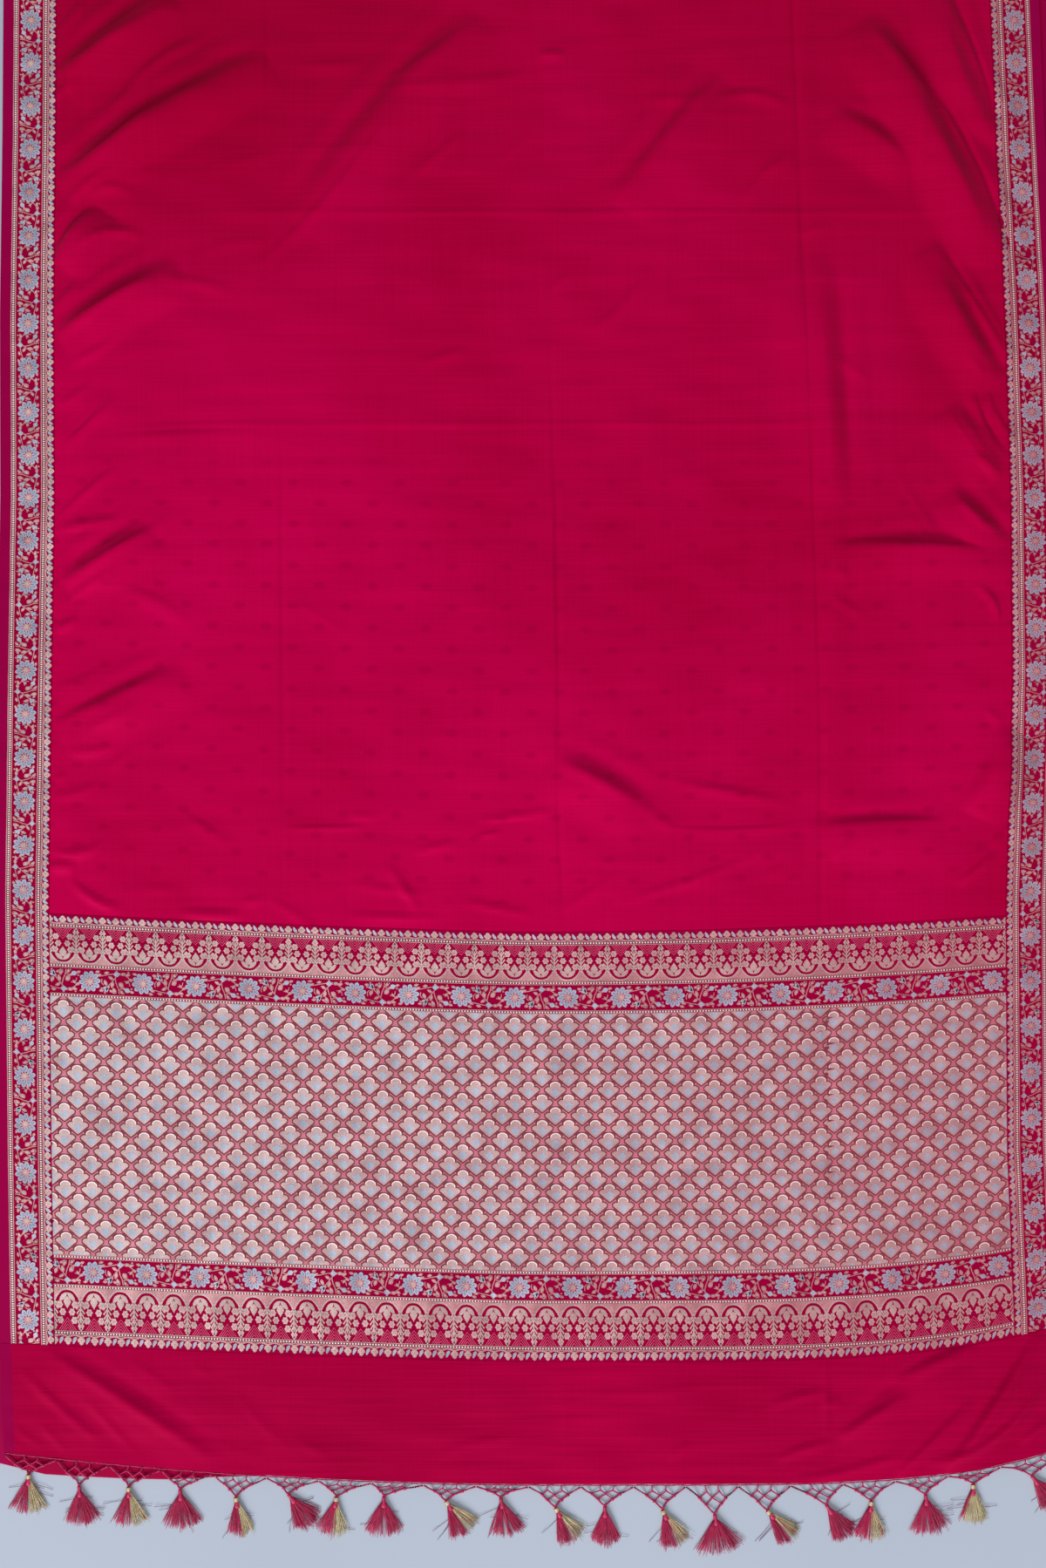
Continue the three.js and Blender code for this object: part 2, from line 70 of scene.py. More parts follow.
# Smaller creases, same columns, by the dark line of each: left, middle, right, plain end, far end
creaseRows = [
    (-515, 1513, -383, 1594, 0, 10, 2.0), (-514, 1554, -486, 1592, 1, 7, 1.6),
    (-455, 1472, -350, 1556, 12, 8, 1.6), (-402, 1496, -338, 1531, 3, 9, 0.8),
    (-512, 1402, -401, 1494, -8, 10.5, 2.1), (-519, 1484, -500, 1506, 0, 6, 1.2),
    (-508, 1369, -452, 1412, 2, 6, 1.1), (-479, 1383, -426, 1384, 7, 6, 1.3),
    (-513, 1311, -475, 1364, 6, 7, 1.8), (-489, 1324, -416, 1337, 12, 6, 1.7),
    (-515, 1228, -404, 1297, 2, 8, 2), (-404, 1296, -316, 1278, 2, 8, 1),
    (-515, 1256, -486, 1294, 0, 6, 1.1), (-501, 1198, -444, 1231, -3, 6, 1.2),
    (-509, 1154, -474, 1178, 0, 6, 0.8), (-505, 1107, -452, 1160, 0, 7, 1.2),
    (-468, 1116, -284, 1124, 3, 8, 0.6), (-512, 1027, -448, 1085, 2, 6, 1.4),
    (-512, 1014, -446, 1027, 3, 6, 1.4), (-508, 956, -394, 1029, 0, 8, 1.9),
    (-505, 930, -448, 969, 3, 6, 0.9), (-454, 956, -362, 911, 8, 10, 0.9), (-512, 903, -488, 917, 0, 6, 1.5),
    (-512, 836, -452, 864, 0, 7, 0.9), (-512, 799, -391, 863, 0, 7, 1.8), (-483, 790, -423, 820, 0, 7, 0.7),
    (-497, 770, -445, 779, -4, 7, 1.2), (-512, 738, -495, 741, 0, 5, 0.9),
    (-512, 719, -463, 734, -3, 6, 0.9), (-454, 751, -430, 771, 0, 6, 0.6),
    (-515, 662, -456, 670, -9, 6, 1.4), (-515, 641, -485, 643, 0, 7, 1.8),
    (-490, 629, -431, 597, -7, 6, 1.8), (-376, 598, -300, 599, -3, 6, 1.6), (-312, 609, -280, 617, 0, 6, 1),
    (-280, 617, -216, 576, 3, 6, 0.8), (-413, 621, -376, 621, 0, 6, 0.5), (-374, 708, -315, 672, 0, 8, 0.7),
    (-258, 942, -192, 903, 0, 4, 0.4), (-300, 1303, -134, 1490, -11, 8, 1.2),
    (-251, 1523, -175, 1526, 0, 8, 0.8), (-194, 1500, 12, 1518, -6, 9, 0.9),
    (-158, 1503, -55, 1574, -4, 11, 1.3), (-132, 1398, -70, 1451, 0, 7, 0.8),
    (-33, 1416, 0, 1447, 0, 6, 0.5), (14, 1534, 46, 1536, 0, 5, 1.4), (58, 1232, 130, 1306, -8, 8, 0.8),
    (18, 1274, 45, 1302, 0, 7, 0.5), (-122, 1194, -66, 1213, 5, 7, 0.8), (95, 1376, 222, 1520, 6, 8, 1.1),
    (205, 1485, 290, 1481, 10, 7, 1.5), (233, 1365, 290, 1427, 10, 7, 1.1),
    (-354, 1413, -272, 1427, 0, 8, 0.6), (-434, 1402, -397, 1413, 0, 6, 0.7),
    (-361, 1321, -266, 1331, 6, 8, 0.6), (124, 1489, 205, 1487, 0, 8, 0.6), (31, 772, 118, 727, 3, 8, 1.5),
    (118, 727, 160, 695, 0, 8, 0.7), (141, 752, 286, 722, 0, 7, 1.3), (106, 787, 63, 737, 0, 4, 0.4),
    (-57, 706, 28, 718, 0, 4.5, 1.2), (-125, 670, -76, 684, 0, 4.5, 1.1), (-59, 688, -30, 695, 0, 4.5, 0.8),
    (-150, 658, -112, 606, 0, 6, 1.5), (-196, 636, -102, 624, 0, 5, 0.8), (-75, 621, 10, 605, 0, 4.5, 1.2),
    (-262, 692, -175, 696, 0, 4.5, 0.8), (-196, 707, -160, 708, 0, 4.5, 0.7),
    (-196, 600, -90, 602, 0, 6, 1.2), (34, 609, 89, 647, 0, 6, 0.8), (92, 619, 251, 670, -4, 4.5, 1.1),
    (59, 664, 147, 662, 0, 6, 0.6), (141, 700, 285, 699, -5, 6, 0.6), (252, 641, 271, 654, 0, 5, 0.5),
    (-58, 885, -58, 768, 0, 5, 0.35), (467, 1600, 512, 1470, 3, 8, 2.6), (383, 1564, 520, 1315, 22, 9, 2.8),
    (346, 1473, 450, 1405, 8, 12, 0.8), (441, 1334, 521, 1198, 0, 8, 2), (478, 1168, 521, 1089, -8, 7, 1.9),
    (492, 1170, 519, 1118, -3, 6, 1.1), (441, 1162, 489, 1082, 0, 4, 0.5), (470, 1207, 493, 1187, 0, 6, 0.9),
    (332, 1206, 369, 1180, 0, 7, 0.6), (288, 1340, 329, 1350, 0, 6, 0.5), (338, 1300, 336, 1030, 0, 15, 0.5),
    (324, 1003, 487, 992, 5, 8, 1), (389, 1092, 450, 993, -4, 4, 0.5), (403, 1040, 437, 996, -3, 4, 0.5),
    (454, 1059, 505, 1014, -4, 7, 1.6), (475, 955, 501, 912, 8, 6, 1.6), (479, 1099, 506, 1075, 0, 7, 1.8),
    (486, 817, 506, 803, 0, 6, 0.9), (464, 714, 505, 800, 4, 9, 1), (317, 697, 447, 696, 3, 6, 0.8),
    (317, 714, 408, 715, 0, 4, 0.7), (324, 658, 347, 684, 0, 6, 0.8), (457, 627, 498, 659, -3, 6, 1.5),
    (493, 667, 507, 677, 0, 5, 1.2), (320, 947, 357, 924, 0, 6, 0.8), (324, 974, 343, 966, 0, 6, 0.7),
    (-522, 127, -347, 18, 0, 8, 1.2), (-549, 103, -465, 26, -3, 7, 1.1), (-481, 73, -429, 17, 0, 6, 0.85),
    (-531, 42, -501, 8, 0, 5, 0.6), (-560, 37, -526, 14, -3, 5, 0.55), (-438, 123, -379, 84, 0, 7, 0.5),
    (-367, 118, -343, 106, 0, 6, 0.35), (-316, 88, -257, 32, -6, 6, 0.4), (-259, 44, -221, 26, 0, 6, 0.4),
    (-345, 33, -293, 22, 0, 6, 0.25), (-108, 34, -13, 54, 3, 7, 0.6), (536, 131, 434, 2, 2, 8, 2.99),
    (547, 87, 416, 16, 20, 7, 2.6), (464, 73, 383, 5, 0, 7, 2.47), (392, 29, 272, 6, 3, 6, 1.56),
    (323, 49, 396, 89, 2, 8, 2.21), (380, 103, 472, 129, 4, 8, 2.08), (546, 36, 516, 19, 0, 5, 1.69),
    (255, 27, 317, 45, 3, 6, 1.69), (247, 83, 313, 98, 3, 6, 1.3), (305, 86, 328, 86, 0, 5, 0.91),
    (40, 98, 201, 108, -4, 6, 0.5), (137, 28, 163, 47, 0, 6, 0.6), (314, 128, 314, 45, 0, 4, 0.78),
    (34, 128, 34, 40, 0, 4, 0.3), (-512, 1622, -404, 1700, 4, 8, 1.5), (-508, 1690, -452, 1748, -2, 7, 1.1),
    (-420, 1640, -316, 1694, 6, 9, 0.9), (462, 1752, 514, 1640, 4, 8, 1.8), (404, 1728, 474, 1660, 6, 9, 1),
    (-212, 1652, -96, 1708, -6, 9, 0.8), (96, 1640, 218, 1722, 6, 9, 0.9), (-60, 1742, 44, 1752, 3, 8, 0.7),
    (326, 1774, 446, 1786, 2, 8, 0.7), (-486, 1776, -404, 1800, 3, 7, 0.8),
    (250, 1668, 300, 1652, -3, 7, 0.7),
]

# What the iron left, same columns: straight lines along and across the whole cloth
pressRows = [
    (-281, 1830, -281, 1440, 0, 5, -0.9), (-270, 1158, -264, 690, 0, 5, -1.5),
    (-264, 700, -262, 590, 0, 6, -0.8), (316, 1400, 324, 620, 0, 22, 1.9), (306, 1640, 310, 1380, 0, 16, 1),
    (7, 1830, 8, 1540, 0, 5, -0.6), (22, 1248, 33, 640, 0, 5, -1.6), (32, 720, 40, 590, 0, 5, -1),
    (294, 1850, 299, 1400, 0, 5, -1.5), (300, 1500, 298, 1300, 0, 6, -0.9),
    (298, 1400, 303, 1040, 0, 5, -1.5), (301, 1130, 311, 740, 0, 5, -1.5), (310, 830, 316, 560, 0, 6, -1.2),
    (315, 600, 322, 420, 0, 7, -0.3), (-420, 1361, 506, 1361, 0, 5, 0.7), (-459, 1130, 422, 1132, 0, 6, 0.7),
    (141, 1020, 295, 1020, 0, 6, 0.5), (-124, 991, 12, 991, 0, 6, 0.35), (177, 1085, 299, 1085, 0, 6, 0.45),
    (38, 640, 32, 90, 0, 8, -0.35), (-262, 620, -269, 150, 0, 8, -0.35), (322, 640, 324, 100, 0, 9, -0.4),
    (-560, 17, 556, 17, 0, 4, 0.45),
]


def column(rows, k, at):  # column k of a table, read between its rows
    table = np.array(rows, float)
    return np.interp(at, table[:, 0], table[:, k])


def place(u, v):
    t = u / cloth["reach"]
    left = column(liftRows, 1, v) * np.abs(t) ** column(liftRows, 2, v)
    right = column(liftRows, 3, v) * np.abs(t) ** column(liftRows, 4, v)
    shift = column(sideRows, 1, v) * (1 - t) / 2 + column(sideRows, 2, v) * (1 + t) / 2
    return u + shift - cloth["middleX"], v + np.where(t < 0, left, right) - cloth["middleY"]


foldLook = dict(light=(-0.35, -0.94), litSide=1.7, darkSide=0.75, lip=0.16, lipAt=-1.2, lipHalf=0.45,
                shift=0.34, depth=2.0, taper=0.8, reach=2.8)
ripple = dict(clear=4, fade=30, bend=1.7, bendLength=97, rim=6)
rippleRows = [  # across, along, start, height of each wave: a slight unevenness everywhere
    (410, 31, 0.4, 0.10), (-290, 23, 2.1, 0.08), (180, 47, 4.0, 0.14), (-520, 17, 1.2, 0.05),
    (130, 83, 5.1, 0.22), (-210, 61, 3.3, 0.18), (90, 205, 0.9, 0.2),
]


def hump(x):
    return (1 - x.clip(-1, 1) ** 2) ** 2


def profile(x):  # a broad lit side, a steep dark one and a low lip at its foot
    main = np.where(x > 0, x / foldLook["litSide"], x / foldLook["darkSide"])
    return hump(main) + foldLook["lip"] * hump((x - foldLook["lipAt"]) / foldLook["lipHalf"])


def ridge(row, u, v, shaped=True):
    u0, v0, u1, v1, bow, half, tall = row
    du, dv = u1 - u0, v1 - v0
    span = math.hypot(du, dv)
    along = ((u - u0) * du + (v - v0) * dv) / span ** 2
    taper = np.sin(math.pi * np.clip(along, 0, 1)) ** foldLook["taper"]
    off = ((v - v0) * du - (u - u0) * dv) / span - bow * taper
    if not shaped:
        return tall * taper * hump(off / half)
    lit = 1 if -dv * foldLook["light"][0] + du * foldLook["light"][1] > 0 else -1
    return foldLook["depth"] * tall * taper * profile(lit * off / half - foldLook["shift"])


def near(row, u, v):  # the points that a row can reach
    u0, v0, u1, v1, bow, half, _ = row
    reach = foldLook["reach"] * half + abs(bow)
    return ((u > min(u0, u1) - reach) & (u < max(u0, u1) + reach)
            & (v > min(v0, v1) - reach) & (v < max(v0, v1) + reach))


def foldHeight(u, v):
    u, v = np.broadcast_arrays(u, v)
    folds = np.zeros(u.shape)
    creases = np.zeros(u.shape)
    for rows in (foldRows, creaseRows, pressRows):
        for row in rows:
            close = near(row, u, v)
            if not close.any():
                continue
            height = ridge(row, u[close], v[close], rows is not pressRows)
            if rows is foldRows:
                folds[close] = np.maximum(folds[close], height)
            else:
                creases[close] += height
    loose = (np.clip((v - cloth["palluHead"] - ripple["clear"]) / ripple["fade"], 0, 1)
             + np.clip((cloth["palluFoot"] - ripple["clear"] - v) / ripple["fade"], 0, 1))
    for across, along, start, tall in rippleRows:
        bend = ripple["bend"] * np.sin(u / ripple["bendLength"] + start)
        creases += loose * tall * np.sin(2 * math.pi * (u / across + v / along) + start + bend)
    rim = (np.clip((u - cloth["leftEdge"]) / ripple["rim"], 0, 1)
           * np.clip((cloth["rightEdge"] - u) / ripple["rim"], 0, 1))
    return folds + creases * rim


def clothPoints(u, v, lift=0.0):
    u, v = np.broadcast_arrays(np.asarray(u, float), np.asarray(v, float))
    x, y = place(u, v)
    return np.stack([x, y, cloth["over"] + foldHeight(u, v) + lift], -1)


# Colours and materials
def srgb(r, g, b):
    part = [c / 255 for c in (r, g, b)]
    return tuple(c / 12.92 if c <= 0.04045 else ((c + 0.055) / 1.055) ** 2.4 for c in part) + (1.0,)


class Sock:  # a node's output, on which sums and products add Math nodes
    def __init__(self, look, socket):
        self.look = look
        self.socket = socket

    def maths(self, operation, *others):
        return self.look.node("ShaderNodeMath", dict(operation=operation), (self,) + others)

    def __add__(self, other):
        return self.maths("ADD", other)

    def __sub__(self, other):
        return self.maths("SUBTRACT", other)

    def __mul__(self, other):
        return self.maths("MULTIPLY", other)

    def __truediv__(self, other):
        return self.maths("DIVIDE", other)

    def __pow__(self, other):
        return self.maths("POWER", other)

    __radd__ = __add__
    __rmul__ = __mul__


class Look:  # one material and its nodes
    def __init__(self, name, **fixed):
        self.material = bpy.data.materials.new(name)
        self.material.use_nodes = True
        self.tree = self.material.node_tree
        self.tree.nodes.clear()
        self.shader = self.tree.nodes.new("ShaderNodeBsdfPrincipled")
        output = self.tree.nodes.new("ShaderNodeOutputMaterial")
        self.tree.links.new(self.shader.outputs[0], output.inputs[0])
        for key, value in fixed.items():
            self.shader.inputs[key.replace("_", " ")].default_value = value

    def node(self, kind, settings, values=(), out=0):
        made = self.tree.nodes.new(kind)
        for key, value in settings.items():
            setattr(made, key, value)
        pairs = values.items() if isinstance(values, dict) else enumerate(values)
        for key, value in pairs:
            if isinstance(value, Sock):
                self.tree.links.new(value.socket, made.inputs[key])
            else:
                made.inputs[key].default_value = value
        return Sock(self, made.outputs[out])

    def spot(self):
        return self.node("ShaderNodeTexCoord", {}, (), "Object")

    def stretched(self, x, y, z):
        return self.node("ShaderNodeVectorMath", dict(operation="MULTIPLY"), (self.spot(), (x, y, z)))

    def noise(self, vector, detail=2.0):
        return self.node("ShaderNodeTexNoise", {}, {"Vector": vector, "Scale": 1.0, "Detail": detail})

    def mix(self, factor, a, b):
        return self.node("ShaderNodeMix", dict(data_type="RGBA"), {0: factor, 6: a, 7: b}, 2)

    def feed(self, name, value):
        self.tree.links.new(value.socket, self.shader.inputs[name])

    def bump(self, height, strength, distance):
        values = {"Strength": strength, "Distance": distance, "Height": height}
        self.feed("Normal", self.node("ShaderNodeBump", {}, values))

    def split(self, vector):  # its x and its y
        return [self.node("ShaderNodeSeparateXYZ", {}, (vector,), k) for k in (0, 1)]

    def plan(self):  # u and v of the flat cloth
        return self.split(self.node("ShaderNodeUVMap", dict(uv_map="plan")))

    def ranged(self, value, low, high, first, last):
        return self.node("ShaderNodeMapRange", {}, (value, low, high, first, last))


def threadRipple(look, pitches):  # the two thread directions of a weave, as a height
    x, y = look.split(look.spot())
    across, along = pitches
    return (x * (2 * math.pi / across)).maths("SINE") * (y * (2 * math.pi / along)).maths("SINE")


silkLooks = {
    "field": dict(dark=srgb(148, 0, 42), light=srgb(188, 0, 74), streak=0.35, bump=0.12, gloss=0.22),
    "ground": dict(dark=srgb(126, 0, 42), light=srgb(152, 1, 56), streak=0.35, bump=0.12, gloss=0.22),
    "end": dict(dark=srgb(138, 0, 44), light=srgb(172, 0, 62), streak=1.0, bump=0.25, gloss=0.08),
}
# lean and far are painted shade on the field: a side-to-side slope that turns over along v, and darkening
# away from the hem
silk = dict(rough=0.5, tint=(1.0, 0.0, 0.16, 1.0), broad=(3.2, 2.4, 3), weft=(7, 420, 7), warp=(520, 6, 7),
            threads=(0.0007, 0.0006), depth=0.00012, lean=(1.0, 1.6, 0.35, -0.25), far=(0.9, 1.7, 0.0, 0.28))
butti = dict(pitch=0.057, rowPitch=0.0225, zero=1.0, wide=0.0075, tall=0.0048, strength=0.3,
             colour=srgb(134, 0, 44), start=(0.60, 0.64, 0.0, 1.0), stop=(1.06, 1.12, 1.0, 0.0))
selvage = dict(wide=0.0108, soft=0.001, colour=srgb(136, 2, 60))


def spots(look, colour, s):  # faint woven spots in staggered rows, over part of the field
    u, v = look.plan()
    line = (v - s["zero"]) / s["rowPitch"] + 0.5
    odd = (line.maths("FLOOR") * 0.5).maths("FRACT")
    x = (u / s["pitch"] + odd + 0.5).maths("FRACT") - 0.5
    y = line.maths("FRACT") - 0.5
    far = (x * (s["pitch"] / s["wide"])) ** 2 + (y * (s["rowPitch"] / s["tall"])) ** 2
    dot = look.ranged(far, 0.2, 1.2, 1.0, 0.0)
    shown = dot * look.ranged(v, *s["start"]) * look.ranged(v, *s["stop"])
    return look.mix(shown * s["strength"], colour, s["colour"])


def makeSilk(name, s, edged=False, shadedAndSpotted=False):
    look = Look(name, Roughness=silk["rough"], Specular_IOR_Level=s["gloss"], Specular_Tint=silk["tint"])
    broad = look.noise(look.stretched(*silk["broad"]), 3.0)
    weft = look.noise(look.stretched(*silk["weft"]))
    warp = look.noise(look.stretched(*silk["warp"]))
    tone = broad * 1.1 + weft * s["streak"] + warp * 0.25 - 0.25 - s["streak"] / 2
    if shadedAndSpotted:  # painted shade: the field grows darker far from the hem; near the hem its right side is darker, near the back fold its left side
        u, v = look.plan()
        tone = tone - look.ranged(v, *silk["far"]) - u * look.ranged(v, *silk["lean"])
    colour = look.mix(tone, s["dark"], s["light"])
    if edged:  # the selvage lies outside the woven rail
        rim = look.ranged(look.plan()[0], selvage["wide"], selvage["wide"] + selvage["soft"], 1.0, 0.0)
        colour = look.mix(rim, colour, selvage["colour"])
    if shadedAndSpotted:
        colour = spots(look, colour, butti)
    look.feed("Base Color", colour)
    look.bump(threadRipple(look, silk["threads"]) + weft * 0.8, s["bump"], silk["depth"])
    return look.material


fieldSilk = makeSilk("crimsonSilk", silkLooks["field"], shadedAndSpotted=True)
groundSilk = makeSilk("crimsonGround", silkLooks["ground"], edged=True)
endSilk = makeSilk("crimsonEnd", silkLooks["end"], edged=True)

zariTone = dict(chevron=0.42, grain=0.7, patch=0.9, side=0.18, base=0.34, grainSize=900, patchSize=45,
                ground=srgb(172, 34, 66), more=0.34, bump=0.3, depth=0.00012)
# The ground silk shines through by each colour's share. side and more are painted shade: towards the right
# the metal grows darker and more ground colour is mixed in
# Each colour: dark, light, metallic, roughness, pitch of the hatching, share of the ground
zariLooks = {
    "rose": (srgb(120, 52, 68), srgb(216, 166, 166), 0.3, 0.45, 0.0011, 0.14),
    "blush": (srgb(148, 58, 80), srgb(222, 138, 154), 0.25, 0.45, 0.0011, 0.16),
    "ivory": (srgb(120, 82, 86), srgb(224, 196, 192), 0.3, 0.45, 0.0013, 0.15),
    "silver": (srgb(108, 110, 132), srgb(192, 196, 214), 0.3, 0.42, 0.0012, 0.04),
    "slate": (srgb(104, 100, 126), srgb(154, 152, 176), 0.3, 0.45, 0.0010, 0.04),
    "pink": (srgb(196, 50, 104), srgb(230, 104, 142), 0.1, 0.5, 0.0010, 0.0),
    "wine": (srgb(90, 0, 28), srgb(126, 0, 44), 0.0, 0.5, 0.0010, 0.0),
    "white": (srgb(226, 206, 206), srgb(250, 238, 236), 0.15, 0.45, 0.0010, 0.06),
}


def makeZari(name, dark, light, metallic, rough, hatch, share):
    look = Look(name, Metallic=metallic, Roughness=rough)
    x, y = look.plan()
    chevron = ((x.maths("ABSOLUTE") + y) * (2 * math.pi / hatch)).maths("SINE")
    grain = look.noise(look.stretched(*[zariTone["grainSize"]] * 3))
    patch = look.noise(look.stretched(*[zariTone["patchSize"]] * 3))
    # painted shade: the metal darkens, and takes on more ground colour, towards the right
    side = look.split(look.spot())[0]
    tone = chevron * zariTone["chevron"] + grain * zariTone["grain"] + patch * zariTone["patch"]
    colour = look.mix(tone - side * zariTone["side"] - zariTone["base"], dark, light)
    look.feed("Base Color", look.mix(side * zariTone["more"] + share, colour, zariTone["ground"]))
    look.bump(chevron + grain, zariTone["bump"], zariTone["depth"])
    return look.material


# thread: dark, light, metallic, roughness
threadLooks = {
    "crimsonThread": (srgb(124, 0, 46), srgb(200, 2, 86), 0.0, 0.55),
    "cordThread": (srgb(128, 0, 56), srgb(196, 0, 92), 0.0, 0.6),
    "strayThread": (srgb(96, 24, 70), srgb(140, 60, 110), 0.0, 0.6),
    "goldThread": (srgb(142, 120, 80), srgb(232, 216, 176), 0.3, 0.4),
}
threadTone = dict(grainSize=(1400, 500, 900), patchSize=160, grain=0.9, patch=0.7, base=0.3, bump=0.4,
                  depth=0.0002)


def makeThread(name, dark, light, metallic, rough):
    look = Look(name, Metallic=metallic, Roughness=rough)
    grain = look.noise(look.stretched(*threadTone["grainSize"]))
    patch = look.noise(look.stretched(*[threadTone["patchSize"]] * 3))
    tone = grain * threadTone["grain"] + patch * threadTone["patch"] - threadTone["base"]
    look.feed("Base Color", look.mix(tone, dark, light))
    look.bump(grain, threadTone["bump"], threadTone["depth"])
    return look.material


zari = {name: makeZari(name + "Zari", *row) for name, row in zariLooks.items()}
thread = {name: makeThread(name, *row) for name, row in threadLooks.items()}
print("materials made")


# Meshes from arrays: points in millimetres, faces as arrays of corner numbers, one array for each face size
counts = []


def makePiece(name, points, faces, material, uv=None, smooth=True):
    mesh = bpy.data.meshes.new(name)
    corners = np.concatenate([f.ravel() for f in faces]).astype(np.int32)
    sizes = np.concatenate([np.full(len(f), f.shape[1]) for f in faces])
    mesh.vertices.add(len(points))
    mesh.vertices.foreach_set("co", (points * mm).astype(np.float32).ravel())
    mesh.loops.add(len(corners))
    mesh.loops.foreach_set("vertex_index", corners)
    mesh.polygons.add(len(sizes))
    mesh.polygons.foreach_set("loop_start", (np.cumsum(sizes) - sizes).astype(np.int32))
    mesh.update(calc_edges=True)
    if uv is not None:
        mesh.uv_layers.new(name="plan").data.foreach_set("uv", (uv * mm)[corners].astype(np.float32).ravel())
    mesh.polygons.foreach_set("use_smooth", np.full(len(sizes), smooth))
    mesh.validate()
    counts.append(int(np.sum(sizes - 2)))
    mesh.materials.append(material)
    piece = bpy.data.objects.new(name, mesh)
    bpy.context.scene.collection.objects.link(piece)
    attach(piece, "root")
    return piece


def gridFaces(rows, wide, first=0):
    start = first + (np.arange(rows - 1)[:, None] * wide + np.arange(wide - 1)[None, :]).ravel()
    return np.stack([start, start + 1, start + wide + 1, start + wide], 1)


def gridRim(rows, wide):  # the numbers of a grid's rim points, once round
    ring = list(range(wide)) + [i * wide + wide - 1 for i in range(1, rows)]
    ring += [(rows - 1) * wide + j for j in range(wide - 2, -1, -1)]
    ring += [i * wide for i in range(rows - 2, 0, -1)]
    return np.array(ring)


def lowest(z, reach):  # the least height within a few grid steps
    for _ in range(reach):
        p = np.pad(z, 1, "edge")
        z = np.minimum.reduce([z, p[:-2, 1:-1], p[2:, 1:-1], p[1:-1, :-2], p[1:-1, 2:]])
    return z


# A shell between two grids, closed at its rim. The inner one keeps every coarse-th row and column
def thinSheet(name, outer, inner, plan, material, coarse=1):
    rows, wide = outer.shape[:2]
    inner = inner.copy()
    inner[..., 2] = lowest(inner[..., 2], coarse - 1)
    inner = inner[::coarse, ::coarse]
    low, lowWide = inner.shape[:2]
    count = rows * wide
    top = gridRim(rows, wide)
    foot = gridRim(low, lowWide)
    a = count + low * lowWide + np.arange(len(top))
    c = a[-1] + 1 + np.arange(len(foot))
    wall = [np.roll(a, -k)[::coarse] for k in range(coarse, -1, -1)] + [c, np.roll(c, -1)]
    faces = [gridFaces(rows, wide), gridFaces(low, lowWide, count)[:, ::-1], np.stack(wall, 1)]
    flat = plan.reshape(-1, 2)
    flatLow = plan[::coarse, ::coarse].reshape(-1, 2)
    over = outer.reshape(-1, 3)
    under = inner.reshape(-1, 3)
    points = np.concatenate([over, under, over[top], under[foot]])
    uv = np.concatenate([flat, flatLow, flat[top], flatLow[foot]])
    return makePiece(name, points, faces, material, uv)


# The top stretch in its woven parts, on the same rows and columns
weave = dict(step=5.4, endStep=3.6, farStep=11.0, palluColumns=237, palluRows=89, fieldColumns=321,
             fieldRows=261, turns=(45, 90, 135, 180), arcOuter=1.55, arcInner=0.95, seam=0.15, pace=2.1)
# Where the steps are finer: from, to
palluClose = [(-280, -252), (20, 50), (308, 338)]
fieldClose = [(-514, -440), (-290, -256), (8, 40), (290, 345), (455, 514)]
rowsClose = [(1352, 1370), (1122, 1140), (994, 1012), (688, 706)]


def steps(a, b, step):
    return np.linspace(a, b, max(2, int(round(abs(b - a) / step)) + 1))


def paced(low, high, count, close):  # an even run from low to high, but for the closer stretches
    at = np.linspace(low, high, 4001)
    pace = np.ones(len(at))
    for start, stop in close:
        pace[(at > start) & (at < stop)] = weave["pace"]
    gone = np.concatenate([[0], np.cumsum((pace[1:] + pace[:-1]) / 2)])
    return np.interp(np.linspace(0, gone[-1], count), gone, at)


seam = weave["seam"]
half = cloth["bodyHalf"]
palluU = paced(-half + seam, half - seam, weave["palluColumns"], palluClose)
fineU = paced(-half + seam, half - seam, weave["fieldColumns"], fieldClose)
leftU = steps(cloth["leftEdge"], -half - seam, weave["step"])
rightU = steps(half + seam, cloth["rightEdge"], weave["step"])
endU = steps(cloth["leftEdge"], cloth["rightEdge"], weave["endStep"])
endV = steps(0, cloth["palluFoot"] - seam, weave["endStep"])
palluV = np.linspace(cloth["palluFoot"] + seam, cloth["palluHead"] - seam, weave["palluRows"])
farV = steps(cloth["creasedTo"], cloth["backFold"], weave["farStep"])[1:]
fineV = np.append(paced(cloth["palluHead"] + seam, cloth["creasedTo"], weave["fieldRows"], rowsClose), farV)
borderV = np.concatenate([palluV, steps(cloth["palluHead"] + seam, cloth["creasedTo"], weave["step"]), farV])


def stretch(name, us, vs, node, material, plan, turned=False, coarse=1):
    u, v = np.meshgrid(us, vs)
    outer = clothPoints(u, v)
    inner = outer - np.array([0, 0, cloth["thick"]])
    flat = np.stack(plan(u, v), -1)
    if turned:  # the back fold: a half turn down to the layer below
        edge = clothPoints(us, cloth["backFold"])[None]
        middle = cloth["over"] - weave["arcOuter"]

        def turnedRow(radius, angle):
            line = edge.copy()
            line[..., 1] += radius * math.sin(angle)
            line[..., 2] = middle + radius * math.cos(angle)
            return line

        for angle in np.radians(weave["turns"]):
            outer = np.concatenate([outer, turnedRow(weave["arcOuter"], angle)])
            inner = np.concatenate([inner, turnedRow(weave["arcInner"], angle)])
            flat = np.concatenate([flat, flat[-1:]])
    piece = thinSheet(name, outer, inner, flat, material, coarse)
    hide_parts(node)
    return piece


